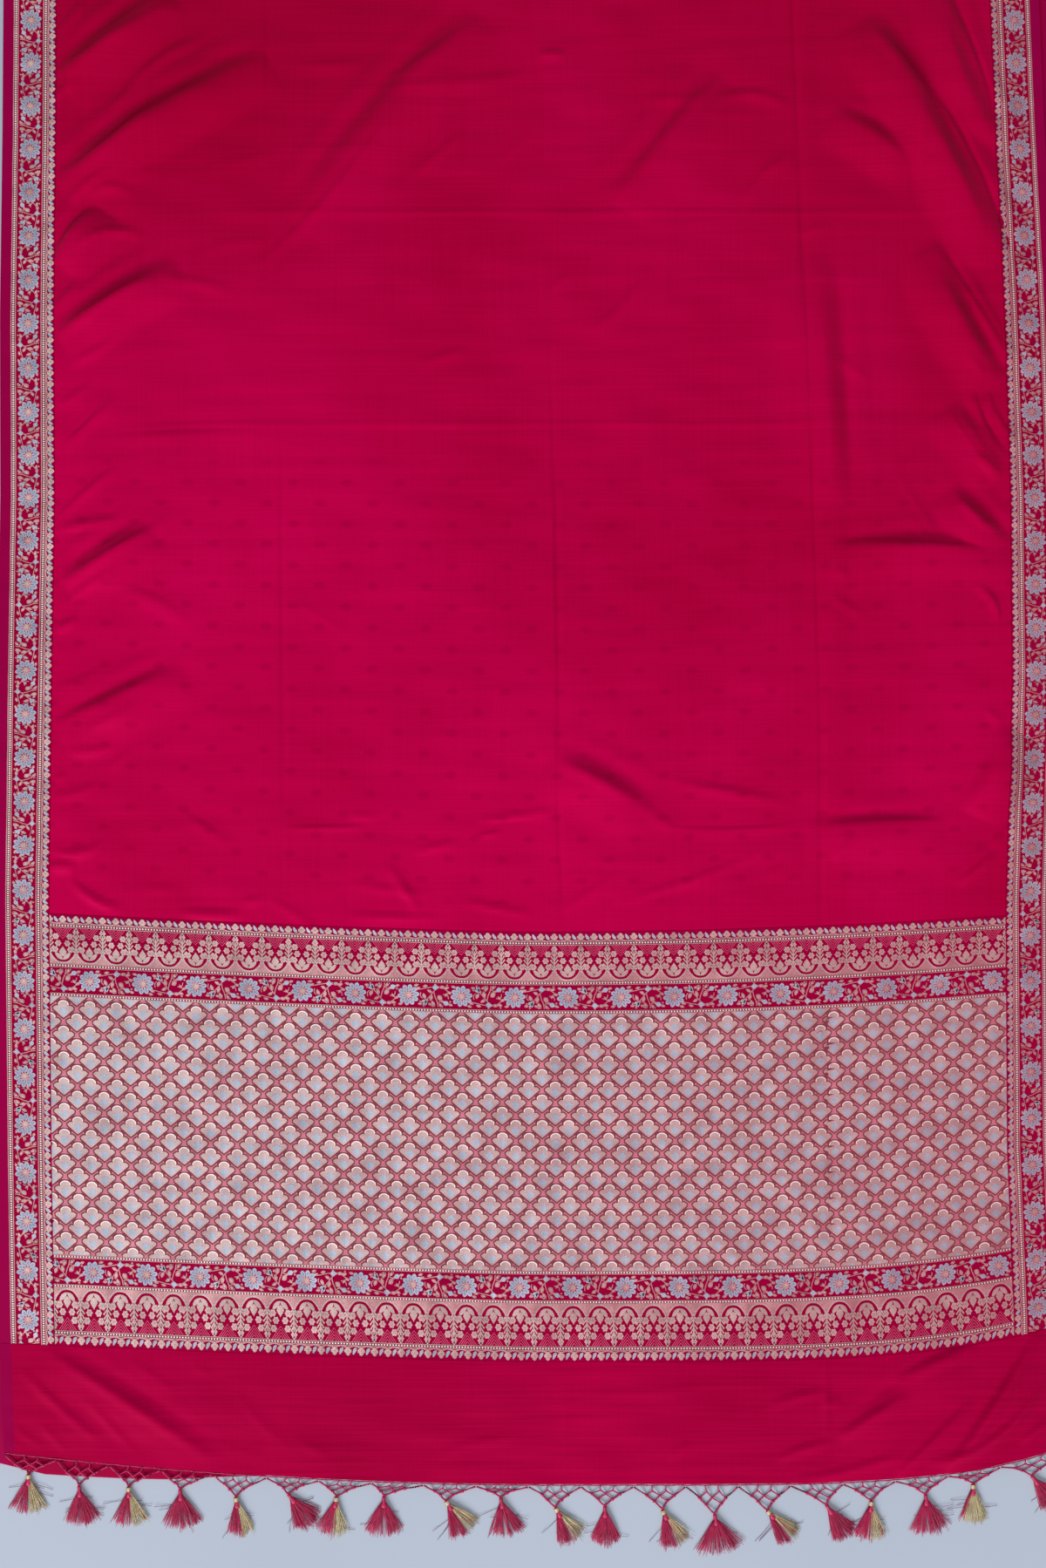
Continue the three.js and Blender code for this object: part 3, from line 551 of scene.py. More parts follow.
fieldPiece = stretch("fieldSilk", fineU, fineV, "field", fieldSilk,
                     lambda u, v: (u, v), True, 4)
leftPiece = stretch("leftBorderGround", leftU, borderV, "border_left", groundSilk,
                    lambda u, v: (u - cloth["leftEdge"], v), True)
rightPiece = stretch("rightBorderGround", rightU, borderV, "border_right", groundSilk,
                     lambda u, v: (cloth["rightEdge"] - u, v), True)
palluPiece = stretch("palluGround", palluU, palluV, "pallu", groundSilk,
                     lambda u, v: (u + 1000, v), False, 4)  # moved clear of the selvage's colour
endPiece = stretch("plainEndSilk", endU, endV, "plain_end", endSilk,
                   lambda u, v: (u - cloth["leftEdge"], v), False, 2)
print("top stretch made")

# The hidden length: one sheet from the back fold to the front fold and back, beyond the hem at the left
frontRows = [  # u, how far the front fold lies beyond the hem
    (-572, 11.3), (-545, 14.5), (-517, 18.5), (-463, 16.2), (-424, 14.5), (-378, 11.5), (-331, 5.2),
    (-285, 1), (-240, -3), (-150, -7), (572, -8),
]
layers = dict(left=-567.0, right=567.5, columns=26.0, rows=60.0, bend=1.3, thick=0.6, backTop=1829.7,
              backLow=1823.2, inset=0.9, rimFrom=500, rimWide=67, wave=0.5, topInset=0.4,
              waves=((173.0, 4), (61.0, 9)), turnStep=22.5)


def frontFold(u):
    return place(u, 0)[1] - column(frontRows, 1, u)


def layerSheet():
    us = steps(layers["left"], layers["right"], layers["columns"])
    share = steps(0, 1, layers["rows"] / cloth["backFold"])
    bend = layers["bend"]
    front = frontFold(us) + bend
    (long, longTurn), (short, shortTurn) = layers["waves"]
    rim = np.clip((np.abs(us) - layers["rimFrom"]) / layers["rimWide"], 0, 1) ** 2 * np.sign(us)
    surfaces = []
    for depth in (0, layers["thick"]):
        radius = bend - depth
        top = layers["backTop"] - cloth["middleY"]
        low = layers["backLow"] - cloth["middleY"]
        grid = [((1 - s) * top + s * front, bend + radius) for s in share]  # from the back fold forwards
        grid += [(front - radius * math.sin(angle), bend + radius * math.cos(angle))
                 for angle in np.radians(np.arange(layers["turnStep"], 180, layers["turnStep"]))]
        grid += [((1 - s) * low + s * front, bend - radius) for s in share[::-1]]  # and back again below
        rows = []
        for y, z in grid:
            deep = (2 * bend - z) / (2 * bend)
            sway = np.sin(y / long + deep * longTurn) + np.sin(y / short + deep * shortTurn)
            aside = layers["inset"] * (layers["topInset"] + deep) + layers["wave"] * 0.5 * (1 + sway)
            x = us - cloth["middleX"] - rim * aside
            rows.append(np.stack([x, np.broadcast_to(y, us.shape), np.full(us.shape, z)], -1))
        surfaces.append(np.array(rows))
    v = surfaces[0][..., 1] + cloth["middleY"]
    flat = np.stack([np.minimum(layers["right"] - us + 0 * v, us - layers["left"] + 0 * v), v], -1)
    return thinSheet("foldedUnderLength", surfaces[0], surfaces[1], flat, groundSilk)


underPiece = layerSheet()
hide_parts("folded_layers")
print("under layers made")


# Metal thread motifs: lists of (colour, outline in millimetres from the motif's own origin, level)
rise = dict(foot=-0.05, ground=0.14, outline=0.24, stem=0.3, leaf=0.34, petal=0.38, gem=0.43, core=0.46,
            heart=0.54)


def outline(points):
    shape = np.array(points, float)
    x, y = shape.T
    turned = np.sum(x * np.roll(y, -1) - y * np.roll(x, -1)) < 0
    return shape[::-1] if turned else shape


def moved(shape, x, y, turn=0.0):
    angle = math.radians(turn)
    spin = np.array([[math.cos(angle), math.sin(angle)], [-math.sin(angle), math.cos(angle)]])
    return outline(np.asarray(shape, float) @ spin + np.array([x, y]))


def oval(x, y, wide, tall, count=8, turn=0.0):
    angle = np.arange(count) * 2 * math.pi / count
    return moved(np.stack([wide * np.cos(angle), tall * np.sin(angle)], 1), x, y, turn)


def starShape(x, y, tip, dip, count, turn=0.0):
    angle = np.arange(2 * count) * math.pi / count
    reach = np.where(np.arange(2 * count) % 2 == 0, tip, dip)
    return moved(np.stack([reach * np.cos(angle), reach * np.sin(angle)], 1), x, y, turn)


def scallop(x, y, tip, dip, count, each=3, turn=0.0):
    angle = np.arange(count * each) * 2 * math.pi / (count * each)
    reach = dip + (tip - dip) * np.abs(np.cos(count * angle / 2)) ** 0.7
    return moved(np.stack([reach * np.cos(angle), reach * np.sin(angle)], 1), x, y, turn)


# columns: share of the length, share of the width
leafProfile = [(0, 0.05), (0.22, 0.36), (0.5, 0.5), (0.78, 0.34), (1, 0.0)]


def leaf(x, y, length, wide, turn, bend=0.0):
    upper = [(s * length, bend * s ** 2 + w * wide) for s, w in leafProfile]
    lower = [(s * length, bend * s ** 2 - w * wide) for s, w in leafProfile[-2::-1]]
    return moved(upper + lower, x, y, turn)


def stroke(points, wide, endWide=None):
    line = np.array(points, float)
    way = np.gradient(line, axis=0)
    side = np.stack([-way[:, 1], way[:, 0]], 1) / np.hypot(way[:, 0], way[:, 1])[:, None]
    half = np.linspace(wide, wide if endWide is None else endWide, len(line))[:, None] / 2
    return outline(np.concatenate([line + side * half, (line - side * half)[::-1]]))


def curve(points, count=8):  # a smooth line through a few points
    line = np.array(points, float)
    at = np.linspace(0, len(line) - 1, count)
    i = np.clip(at.astype(int), 0, len(line) - 2)
    t = (at - i)[:, None]
    before = line[np.maximum(i - 1, 0)]
    after = line[np.minimum(i + 2, len(line) - 1)]
    a, b = line[i], line[i + 1]
    bend = 2 * before - 5 * a + 4 * b - after + t * (3 * (a - b) + after - before)
    return a + 0.5 * t * (b - before + t * bend)


def mirrored(points):  # half an outline and its mirror image
    return outline(points + [(-x, y) for x, y in points[-2:0:-1]])


petal = [(3.4, 0), (5.0, 1.2), (7.4, 2.35), (9.5, 2.5), (11.0, 1.5), (11.9, 0), (11.0, -1.5), (9.5, -2.5),
         (7.4, -2.35), (5.0, -1.2)]
petalLoop = [(5.0, 0), (7.2, 1.15), (9.0, 1.15), (10.0, 0), (9.0, -1.15), (7.2, -1.15)]


def bigFlower():
    parts = []
    for turn in range(7, 360, 36):
        parts.append(("silver", moved(petal, 0, 0, turn), "petal"))
        parts.append(("slate", moved(petalLoop, 0, 0, turn), "core"))
    parts.append(("rose", starShape(0, 0, 5.2, 3.5, 9, 10), "core"))
    parts.append(("ivory", starShape(0.2, 0.1, 3.2, 1.6, 6, 30), "heart"))
    return parts


# Vine between two flowers, from the middle of the gap: along the band, then across it
vineLeaves = [  # x, y, length, width, turn, bend
    (-3.2, 5.6, 6.6, 3.2, 78, -1.2), (-3.6, -1.2, 6.8, 3.0, 96, 0.8), (2.6, 0.2, 6.4, 4.4, 35, 1.6),
    (-12.6, -2.4, 6.2, 3.0, 76, -1.0), (-15.8, -8.6, 5.2, 2.6, 150, 0.8), (-8.4, -6.0, 5.6, 2.7, 22, 0.8),
    (-7.6, -10.6, 5.0, 2.4, 176, -0.8), (4.6, -9.6, 5.4, 3.0, 8, -0.8), (9.6, -7.4, 5.4, 2.6, -30, 0.8),
    (13.2, -4.0, 4.4, 2.4, 12, 0.7), (4.0, 8.6, 4.8, 2.6, 42, 0.8), (-18.4, 9.8, 4.6, 2.6, -14, 0.5),
    (19.0, 10.4, 4.6, 2.4, 190, 0.6), (17.4, -10.6, 5.0, 2.4, 10, 0.5), (-22.6, -10.4, 4.8, 2.4, -8, -0.5),
    (-7.4, 8.8, 3.6, 2.2, 20, 0.5), (10.6, 1.0, 4.4, 2.2, -64, 0.9), (-0.6, 11.2, 3.4, 2.0, 176, 0.4),
]
vineStems = [  # width, then points
    (1.0, [(-9.4, 5.2), (-5.4, 0.6), (-0.8, -5.2), (1.2, -7.2)]),
    (0.95, [(-1.2, -4.2), (0.2, 2), (2.2, 6.4), (3.2, 12.4)]),
    (0.9, [(-20.5, -6.4), (-15, -6.8), (-9, -8.2), (-2.2, -9.4)]),
    (0.9, [(4.2, -9.2), (9, -8.6), (14, -4.8), (17.6, -3.8)]), (0.9, [(9.2, 7.2), (6.4, 6.4), (3, 8.2)]),
    (0.85, [(14.4, 3.4), (13.8, 0), (11.2, -1.8), (8.6, -1.2)]),
    (0.85, [(-13.4, 3.4), (-15.6, 0.6), (-15.2, -3.4)]),
]
# The same columns, without the bend
vineCups = [(-7.6, 3.9, 3.6, 3.4, 128), (5.6, -9.6, 4.4, 2.8, 172), (6.6, 5.6, 4.2, 2.8, 26)]
vineBuds = [(-9.0, 5.6, 6.4, 3.0, 128), (-9.2, 5.2, 6.0, 2.6, 100), (-9.4, 5.0, 6.0, 2.6, 158),
            (3.6, -9.4, 6.4, 5.8, 172), (8.8, 6.8, 6.6, 5.4, 26)]
vineDots = [(-15.8, 7.0), (16.2, 6.4), (0.4, -12.2), (7.6, 11.8), (-12.2, 11.6), (13.2, -11.6)]
vineTall = 27.3  # the drawn height of the flower band


def vineGap():
    parts = [("rose", stroke(curve(points, 7), wide), "stem") for wide, points in vineStems]
    for x, y, length, wide, turn, bend in vineLeaves:
        parts.append(("rose", leaf(x, y, length * 1.12, wide * 1.3, turn, bend), "leaf"))
        inside = moved([(length * 0.5, bend * 0.3)], x, y, turn)[0]
        parts.append(("ivory", oval(inside[0], inside[1], length * 0.3, wide * 0.26, 5, turn), "core"))
    parts += [("rose", leaf(*row), "leaf") for row in vineCups]
    parts += [("silver", leaf(*row), "petal") for row in vineBuds]
    parts += [("rose", oval(x, y, 1.1, 1.1, 6), "leaf") for x, y in vineDots]
    return parts


bud = [(0, 0.9), (1.8, 1.7), (3.9, 3.2), (3.8, 4.9), (2.6, 5.2), (1.8, 6.6), (0, 7.8)]
comma = [(0.8, 1.2), (2.4, 1.4), (2.2, 3.2), (0.7, 5.1), (-1.1, 6.7), (-2.1, 6.5), (-2.0, 4.4), (-1.2, 2.4)]


def budAndLeaf(pitch):  # a gold bud on its rail, then a silver leaf half a pitch on
    wave = [(x, 0.5 + 0.7 * math.cos(2 * math.pi * x / pitch)) for x in np.linspace(-pitch / 2, pitch / 2, 7)]
    return [("rose", stroke(wave, 1.2), "stem"), ("ivory", mirrored(bud), "leaf"),
            ("rose", mirrored([(0, 3.0), (1.2, 4.1), (0, 5.4)]), "core"),
            ("silver", moved(comma, pitch / 2, 0), "petal")]


module = 28.5  # from tree to tree, and from lotus to lotus
tree = dict(tall=38.3, fork=12.6, valley=1.0, archPower=2.6, archWide=1.5, branches=4, firstBranch=14.2,
            branchPitch=4.1, trunk=1.5, flower=(3.7, 2.8, 6, 2), heart=1.7)
treeFlowers = [(0, 34.0), (6.8, 28.9), (-6.8, 28.9), (9.3, 21.6), (-9.3, 21.6), (6.2, 15.0), (-6.2, 15.0)]


def archTop(x):
    away = 1 - np.abs(x) / (module / 2)
    return tree["valley"] + (tree["fork"] - tree["valley"]) * away ** tree["archPower"]


def treeMotif():
    parts = []
    for side in (-1, 1):
        x = np.linspace(0, module / 2, 8)
        line = np.stack([side * x, archTop(x)], 1)
        foot = [(side * module / 2, 0), (0, 0)]
        parts.append(("rose", outline(np.concatenate([line, foot])), "ground"))
        parts.append(("ivory", stroke(line, tree["archWide"]), "stem"))
        for k in range(tree["branches"]):
            low = tree["firstBranch"] + tree["branchPitch"] * k
            branch = [(side * 0.5, low), (side * (4.6 - 0.5 * k), low + 4.6)]
            parts.append(("ivory", stroke(branch, 1.1, 1.6), "stem"))
        parts.append(("ivory", leaf(side * 0.4, 11.6, 4.8, 2.2, 90 - side * 50), "leaf"))
    parts.append(("ivory", stroke([(0, 12.6), (0, 24), (0, tree["tall"])], tree["trunk"]), "leaf"))
    for x, y in treeFlowers:
        parts.append(("ivory", scallop(x, y, *tree["flower"]), "leaf"))
        parts.append(("rose", oval(x, y, tree["heart"], tree["heart"], 6), "petal"))
    return parts


def valleyMotif():  # between two trees
    parts = [("ivory", mirrored([(0, 7.4), (2.6, 9.2), (4.1, 12.6), (0, 18.6)]), "leaf")]
    parts += [("ivory", leaf(0, 4.2, 11.4, 4.8, 90 - side * 52, side * 0.8), "petal") for side in (-1, 1)]
    for k in range(4):
        reach, tip = 9.4 - 2.3 * k, 26.6 + 2.9 * k
        parts.append(("pink", stroke([(-reach, 38.0), (0, tip), (reach, 38.0)], 0.5), "outline"))
    return parts


lotusRows = [  # x, y, width of the dark line round it
    (0, 0, 0.8), (3.4, -0.8, 1.9), (5.6, -3.2, 2.5), (5.7, -6.1, 1.9), (8.7, -6.2, 1.5), (11.1, -8.2, 1.6),
    (10.6, -10.1, 1.6), (7.0, -13.0, 1.7), (3.2, -16.5, 1.7), (0, -18.9, 1.9),
]
jaal = dict(rowPitch=13.63, top=508.3, rows=21, low=225.6, high=498.2, groundRows=53, foot=-0.2)


def lotusMotif():
    rows = np.array(lotusRows, float)
    rows = np.concatenate([rows, rows[-2:0:-1] * (-1, 1, 1)])[::-1]
    whole, wide = rows[:, :2], rows[:, 2:]
    way = np.roll(whole, -1, 0) - np.roll(whole, 1, 0)
    outward = np.stack([way[:, 1], -way[:, 0]], 1) / np.hypot(way[:, 0], way[:, 1])[:, None]
    dome = curve([(-5.2, -5.2), (-4.3, -2.2), (0, -0.6), (4.3, -2.2), (5.2, -5.2)], 6)
    gem = mirrored([(0, -7.2), (3.0, -8.8), (4.7, -11.7), (2.7, -14.6), (0, -16.6)])
    return [("wine", whole + outward * wide, "outline"), ("ivory", whole, "leaf"),
            ("white", stroke(dome, 0.9), "petal"), ("silver", gem, "gem")]


class Inlay:  # what one stretch carries, gathered by colour and cut off at its edges
    def __init__(self, name, slot, lowU, highU, lowV, highV):
        self.name = name
        self.slot = slot
        self.low = (lowU, lowV)
        self.high = (highU, highV)
        self.parts = {}

    def add(self, colour, points, uv, faces):
        self.parts.setdefault(colour, []).append((points, uv, faces))

    def stamp(self, colour, u, v, level, uv):  # u, v and uv hold one row for each copy
        u = np.clip(u, self.low[0], self.high[0])
        v = np.clip(v, self.low[1], self.high[1])
        shown = (np.ptp(u, 1) > 0.4) & (np.ptp(v, 1) > 0.4)
        u, v, uv = u[shown], v[shown], uv[shown]
        copies, corners = u.shape
        if copies == 0:
            return
        top = clothPoints(u, v, rise[level]).reshape(-1, 3)
        foot = clothPoints(u, v, rise["foot"]).reshape(-1, 3)
        a = np.arange(copies * corners).reshape(copies, corners)
        b = np.roll(a, -1, 1)
        under = copies * corners
        skirt = np.stack([a + under, b + under, b, a], -1).reshape(-1, 4)
        flat = uv.reshape(-1, 2)
        self.add(colour, np.concatenate([top, foot]), np.concatenate([flat, flat]), [a, skirt])

    def lay(self, motif, places):  # places: rows of u, v, scale along, scale across, turn
        at = np.atleast_2d(np.array(places, float))
        turn = np.radians(at[:, 4:5])
        flip = at[:, 2] * at[:, 3] < 0
        for colour, shape, level in motif:
            x = shape[:, 0] * at[:, 2:3]
            y = shape[:, 1] * at[:, 3:4]
            u = at[:, 0:1] + x * np.cos(turn) - y * np.sin(turn)
            v = at[:, 1:2] + x * np.sin(turn) + y * np.cos(turn)
            uv = np.broadcast_to(shape, u.shape + (2,)).copy()
            for values in (u, v, uv):
                values[flip] = values[flip, ::-1]
            self.stamp(colour, u, v, level, uv)

    def strip(self, colour, along, middle, wide, level, upright):  # a raised line along u, or v if upright
        across = middle + wide * np.array([-0.5, -0.42, 0.42, 0.5])
        heights = np.array([rise["foot"], rise[level], rise[level], rise["foot"]])
        long, side = np.meshgrid(along, across)
        u, v = (side, long) if upright else (long, side)
        points = clothPoints(u, v, heights[:, None])
        faces = gridFaces(4, len(along))
        if upright:
            faces = faces[:, ::-1]
        uv = np.stack([side, long], -1)
        self.add(colour, points.reshape(-1, 3), uv.reshape(-1, 2), [faces])

    def rail(self, along, low, wide, s, scale=1.0, upright=False):  # two lines and a row of dots between
        line = s["line"] * scale
        self.strip("wine", along, low + wide / 2, wide - line, "ground", upright)
        for middle in (low + line / 2, low + wide - line / 2):
            self.strip("rose", along, middle, line, "petal", upright)
        x, y = s["dot"]
        dot = [("white", outline([(-x, -y), (x, -y), (x, y), (-x, y)]), "leaf")]
        middle = low + wide / 2
        places = np.arange(along[0] + s["pitch"] / 2, along[-1], s["pitch"])
        self.lay(dot, [(middle, at, 1, 1, 90) if upright else (at, middle, 1, 1, 0) for at in places])

    def finish(self):
        pieces = []
        for colour, parts in self.parts.items():
            faces = {}
            first = 0
            for points, uv, lists in parts:
                for face in lists:
                    faces.setdefault(face.shape[1], []).append(face + first)
                first += len(points)
            points = np.concatenate([part[0] for part in parts])
            uv = np.concatenate([part[1] for part in parts])
            joined = [np.concatenate(group) for group in faces.values()]
            name = self.name + colour.capitalize()
            pieces.append(makePiece(name, points, joined, zari[colour], uv, smooth=False))
        return pieces


# Pallu: its bands as heights over the hem
pallu = dict(columns=37, inset=0.2, line=0.85, dot=(0.62, 0.75), pitch=3.08)
# columns: lower edge, width
palluRails = [(140.8, 4.7), (190.4, 3.8), (221.6, 3.8), (498.1, 3.9), (529.2, 4.2), (571.3, 4.7)]
treeRows = [(533.4, 571.3), (190.4, 145.5)]  # foot, top: the low row hangs
budRows = [(576.0, 1.08), (140.8, -1.35)]  # foot, scale
flowerRows = [(515.7, 26.4), (207.8, 27.2)]  # middle, height
inset = pallu["inset"]
palluInlay = Inlay("pallu", "zari_brocade", -half + inset, half - inset, cloth["palluFoot"] + inset,
                   cloth["palluHead"] - inset)
for low, wide in palluRails:
    palluInlay.rail(palluU, low, wide, pallu)
axes = -half + module * np.arange(pallu["columns"])
for foot, top in treeRows:
    scale = (top - foot) / tree["tall"]
    palluInlay.lay(treeMotif(), [(u, foot, 1, scale, 0) for u in axes])
    palluInlay.lay(valleyMotif(), [(u + module / 2, foot, 1, scale, 0) for u in axes[:-1]])
budU = -half + module / 2 * np.arange(2 * pallu["columns"] - 1)
for foot, scale in budRows:
    palluInlay.lay(budAndLeaf(module / 2), [(u, foot, 1, scale, 0) for u in budU])
flowerU = -half + 1.5 * module + 2 * module * np.arange(-1, 19)
for middle, tall in flowerRows:
    scale = tall / vineTall
    palluInlay.lay(bigFlower(), [(u, middle, 1, scale, 0) for u in flowerU])
    vines = [(u + module, middle, 1, -scale if k % 2 else scale, 0) for k, u in enumerate(flowerU)]
    palluInlay.lay(vineGap(), vines)
u, v = np.meshgrid(palluU, np.linspace(jaal["low"], jaal["high"], jaal["groundRows"]))
groundTop = clothPoints(u, v, rise["ground"])
groundFoot = clothPoints(u, v, jaal["foot"])
jaalGround = thinSheet("jaalGround", groundTop, groundFoot, np.stack([u, v], -1), zari["blush"],
                       4)
jaalInlay = Inlay("jaal", "zari_brocade", -half + inset, half - inset, jaal["low"], jaal["high"])
jaalInlay.lay(lotusMotif(), [(u + (module / 2 if r % 2 else 0.0), jaal["top"] - jaal["rowPitch"] * r, 1, 1, 0)
                             for r in range(jaal["rows"]) for u in axes])
palluPieces = palluInlay.finish() + jaalInlay.finish() + [jaalGround]
print("pallu laid")

# Borders: widths from the outer edge inwards
border = dict(selvage=11.5, rail=5.7, vine=25.6, innerRail=6.2, gap=0.5, first=154.6, foot=130.0, inset=0.5,
              right=0.925, budPitch=12.2, budTall=1.05, footPitch=13, line=1.25, dot=(0.6, 0.85), pitch=2.4)
pitchRows = [(180, 52.0), (550, 49.3), (1290, 47.5), (1530, 46.5), (1830, 46.5)]  # v, from flower to flower


def layBorder(name, edge, inner, inward, scale):
    top = cloth["backFold"] - 1
    inlay = Inlay(name, "zari_border", min(edge, inner), max(edge, inner), border["foot"], top)
    edge -= inward * border["inset"]
    way = inward * scale
    vineFrom = border["selvage"] + border["rail"] + border["gap"]
    railTwo = vineFrom + border["vine"] + border["gap"]
    for start, wide in ((border["selvage"], border["rail"]), (railTwo, border["innerRail"])):
        low = min(edge + way * start, edge + way * (start + wide))
        inlay.rail(borderV[borderV < top], low, wide * scale, border, scale, True)
    centre = edge + way * (vineFrom + border["vine"] / 2)
    across = -way * border["vine"] / vineTall
    budFrom = edge + way * (railTwo + border["innerRail"])
    budTall = -way * border["budTall"]
    flowers, gaps, buds = [], [], []
    v = border["first"]
    while v < cloth["backFold"] + 30:
        pitch = float(column(pitchRows, 1, v))
        flip = 1 if len(flowers) % 2 else -1
        flowers.append((centre, v, 1, -inward, 90))
        gaps.append((centre, v + pitch / 2, pitch / (2 * module), across * flip, 90))
        budWide = pitch / 4 / border["budPitch"]
        buds += [(budFrom, v + pitch * (q + 0.5) / 4, budWide, budTall, 90) for q in range(4)]
        v += pitch
    first = pitchRows[0][1]  # the vine and the buds below the first flower
    gaps.append((centre, gaps[0][1] - first, first / (2 * module), across, 90))
    budWide = border["footPitch"] / border["budPitch"]
    buds += [(budFrom, buds[0][1] - border["footPitch"] * q, budWide, budTall, 90) for q in (1, 2)]
    inlay.lay(bigFlower(), flowers)
    inlay.lay(vineGap(), gaps)
    inlay.lay(budAndLeaf(border["budPitch"]), buds)
    return inlay.finish()


leftPieces = layBorder("leftBorder", cloth["leftEdge"] + border["inset"], -half - inset, 1, 1.0)
rightPieces = layBorder("rightBorder", cloth["rightEdge"] - border["inset"], half + inset, -1,
                        border["right"])
print("borders laid")


class Bundle:  # tubes and knots of cord and thread, gathered for one piece
    def __init__(self):
        self.points = []
        self.faces = []
        self.count = 0

    def addGrid(self, rings):  # rings of equal count, capped at both ends
        length, sides = rings.shape[:2]
        first = self.count
        i = np.arange(length - 1)[:, None] * sides
        j = np.arange(sides)[None, :]
        k = (j + 1) % sides
        quads = np.stack(np.broadcast_arrays(i + j, i + k, i + k + sides, i + j + sides), -1).reshape(-1, 4)
        self.points.append(rings.reshape(-1, 3))
        self.faces.append((4, quads + first))
        self.faces.append((sides, np.arange(sides)[None, ::-1] + first))
        self.faces.append((sides, np.arange(sides)[None] + first + (length - 1) * sides))
        self.count += length * sides

    def addTube(self, path, radius, sides=6, twist=0.0, flat=1.0):
        path = np.asarray(path, float)
        way = np.gradient(path, axis=0)
        way /= np.linalg.norm(way, axis=1)[:, None]
        side = np.cross(way, [0, 0, 1.0])
        side /= np.maximum(np.linalg.norm(side, axis=1), 1e-6)[:, None]
        up = np.cross(side, way)
        gone = np.concatenate([[0], np.cumsum(np.linalg.norm(np.diff(path, axis=0), axis=1))])
        turn = (gone * twist)[:, None]
        angle = np.arange(sides)[None, :] * 2 * math.pi / sides
        radius = np.broadcast_to(radius, (len(path),))[:, None]
        a = radius * np.cos(angle)
        b = radius * flat * np.sin(angle)
        x = a * np.cos(turn) - b * np.sin(turn)
        y = a * np.sin(turn) + b * np.cos(turn)
        self.addGrid(path[:, None] + side[:, None] * x[..., None] + up[:, None] * y[..., None])

    def addKnot(self, centre, radius, turn, tall=0.9):
        tilt = np.linspace(0.12, math.pi - 0.12, 6)[:, None]
        angle = np.arange(8)[None, :] * math.pi / 4
        lump = radius * (1 + 0.13 * np.sin(2 * angle + 3 * tilt + turn))
        x = lump * np.sin(tilt) * np.cos(angle)
        y = lump * np.sin(tilt) * np.sin(angle)
        z = -lump * tall * np.cos(tilt) + 0 * angle
        rings = np.stack([x, y, z], -1)
        self.addGrid(rings + np.asarray(centre))

    def finish(self, name, material, slot):
        groups = {}
        for size, face in self.faces:
            groups.setdefault(size, []).append(face)
        joined = [np.concatenate(group) for group in groups.values()]
        return makePiece(name, np.concatenate(self.points), joined, material)


# Knotted net, one lattice between two scallops for each tassel
net = dict(pitch=56.2, strip=3.0, wall=1.2, under=3.9, rise=0.3, sag=0.35, neck=2.6, edge=1.2, inner=0.85,
           knot=1.75, smallKnot=0.72, loose=0.022, bulge=0.016, flat=0.72, twist=1.1, uneven=0.08, lift=0.15,
           innerLift=0.1, knotLift=0.1, knotUneven=(0.9, 1.1))
hemCord = dict(inset=0.6, step=2.6, at=1.15, sway=0.2, swayLength=3.1, neckDrop=25, thick=0.8, uneven=0.16,
               rate=1.3, twist=0.9, flat=0.8)
tasselRows = [  # u of the neck, its drop below the hem, the way the tassel lies and half its fan, in degrees
    (-545.9, 20.5, 0, 26), (-491.7, 27.4, 6, 26), (-438.4, 23.2, 2, 26), (-383.3, 21.5, 4, 28),
    (-323.5, 25.1, 10, 18), (-267.5, 18.7, 38, 22), (-215.2, 18.5, -8, 22), (-164.7, 16.2, 0, 26),
    (-98.4, 18.8, 34, 24), (-39.6, 14.3, 12, 26), (19.2, 24.8, 30, 22), (72.4, 23.4, 2, 22),
    (134.1, 27.0, 24, 22), (190.1, 32.1, 10, 34), (246.1, 28.2, 40, 20), (309.6, 24.0, 34, 20),
    (358.2, 21.6, -2, 24), (416.2, 19.5, 8, 28), (467.6, 15.1, 0, 20), (530.2, 20.3, 38, 20),
]


def netPoint(u, drop, neckDrop):
    u, drop = np.broadcast_arrays(np.asarray(u, float), np.asarray(drop, float))
    x, y = place(u, 0)
    clear = np.maximum(net["strip"], column(frontRows, 1, u) + 1)
    t = np.clip((drop - clear) / (neckDrop - clear), 0, 1)
    fall = t * t * (3 - 2 * t)
    heights = (net["under"] + net["rise"], net["sag"], net["sag"], net["neck"] - net["wall"] / 2)
    z = np.interp(fall, (0, 0.3, 0.8, 1), heights) + net["wall"] / 2
    return np.stack([x, y - drop, z], -1)


def latticePoint(t, across, down):
    neck, drop = tasselRows[t][:2]
    left = cloth["leftEdge"] + t * net["pitch"]
    right = cloth["rightEdge"] if t == len(tasselRows) - 1 else left + net["pitch"]
    across, down = np.asarray(across, float), np.asarray(down, float)
    u = left + (right - left) * across + (neck - (left + right) / 2) * down
    bow = place(neck, 0)[1] - place(u, 0)[1]
    return netPoint(u, net["strip"] + (drop - net["strip"]) * down - bow * down, drop)


knots = {  # across and down the lattice
    "A": (0.012, 0), "D": (0.988, 0), "S": (0.375, -0.08), "Z": (0.625, -0.08), "P": (0.375, 0.17),
    "Q": (0.625, 0.17), "C": (0.5, 0.42), "L": (0.243, 0.42), "M": (0.369, 0.67), "R": (0.757, 0.42),
    "N": (0.631, 0.67), "T": (0.5, 1.0),
}
edgeCords = ["AL", "LM", "MT", "DR", "RN", "NT"]
innerCords = ["SP", "ZQ", "PL", "PC", "QC", "QR", "CM", "CN"]
fixedKnots, edgeKnots, innerKnots = "ADSZT", "LMRN", "PQC"


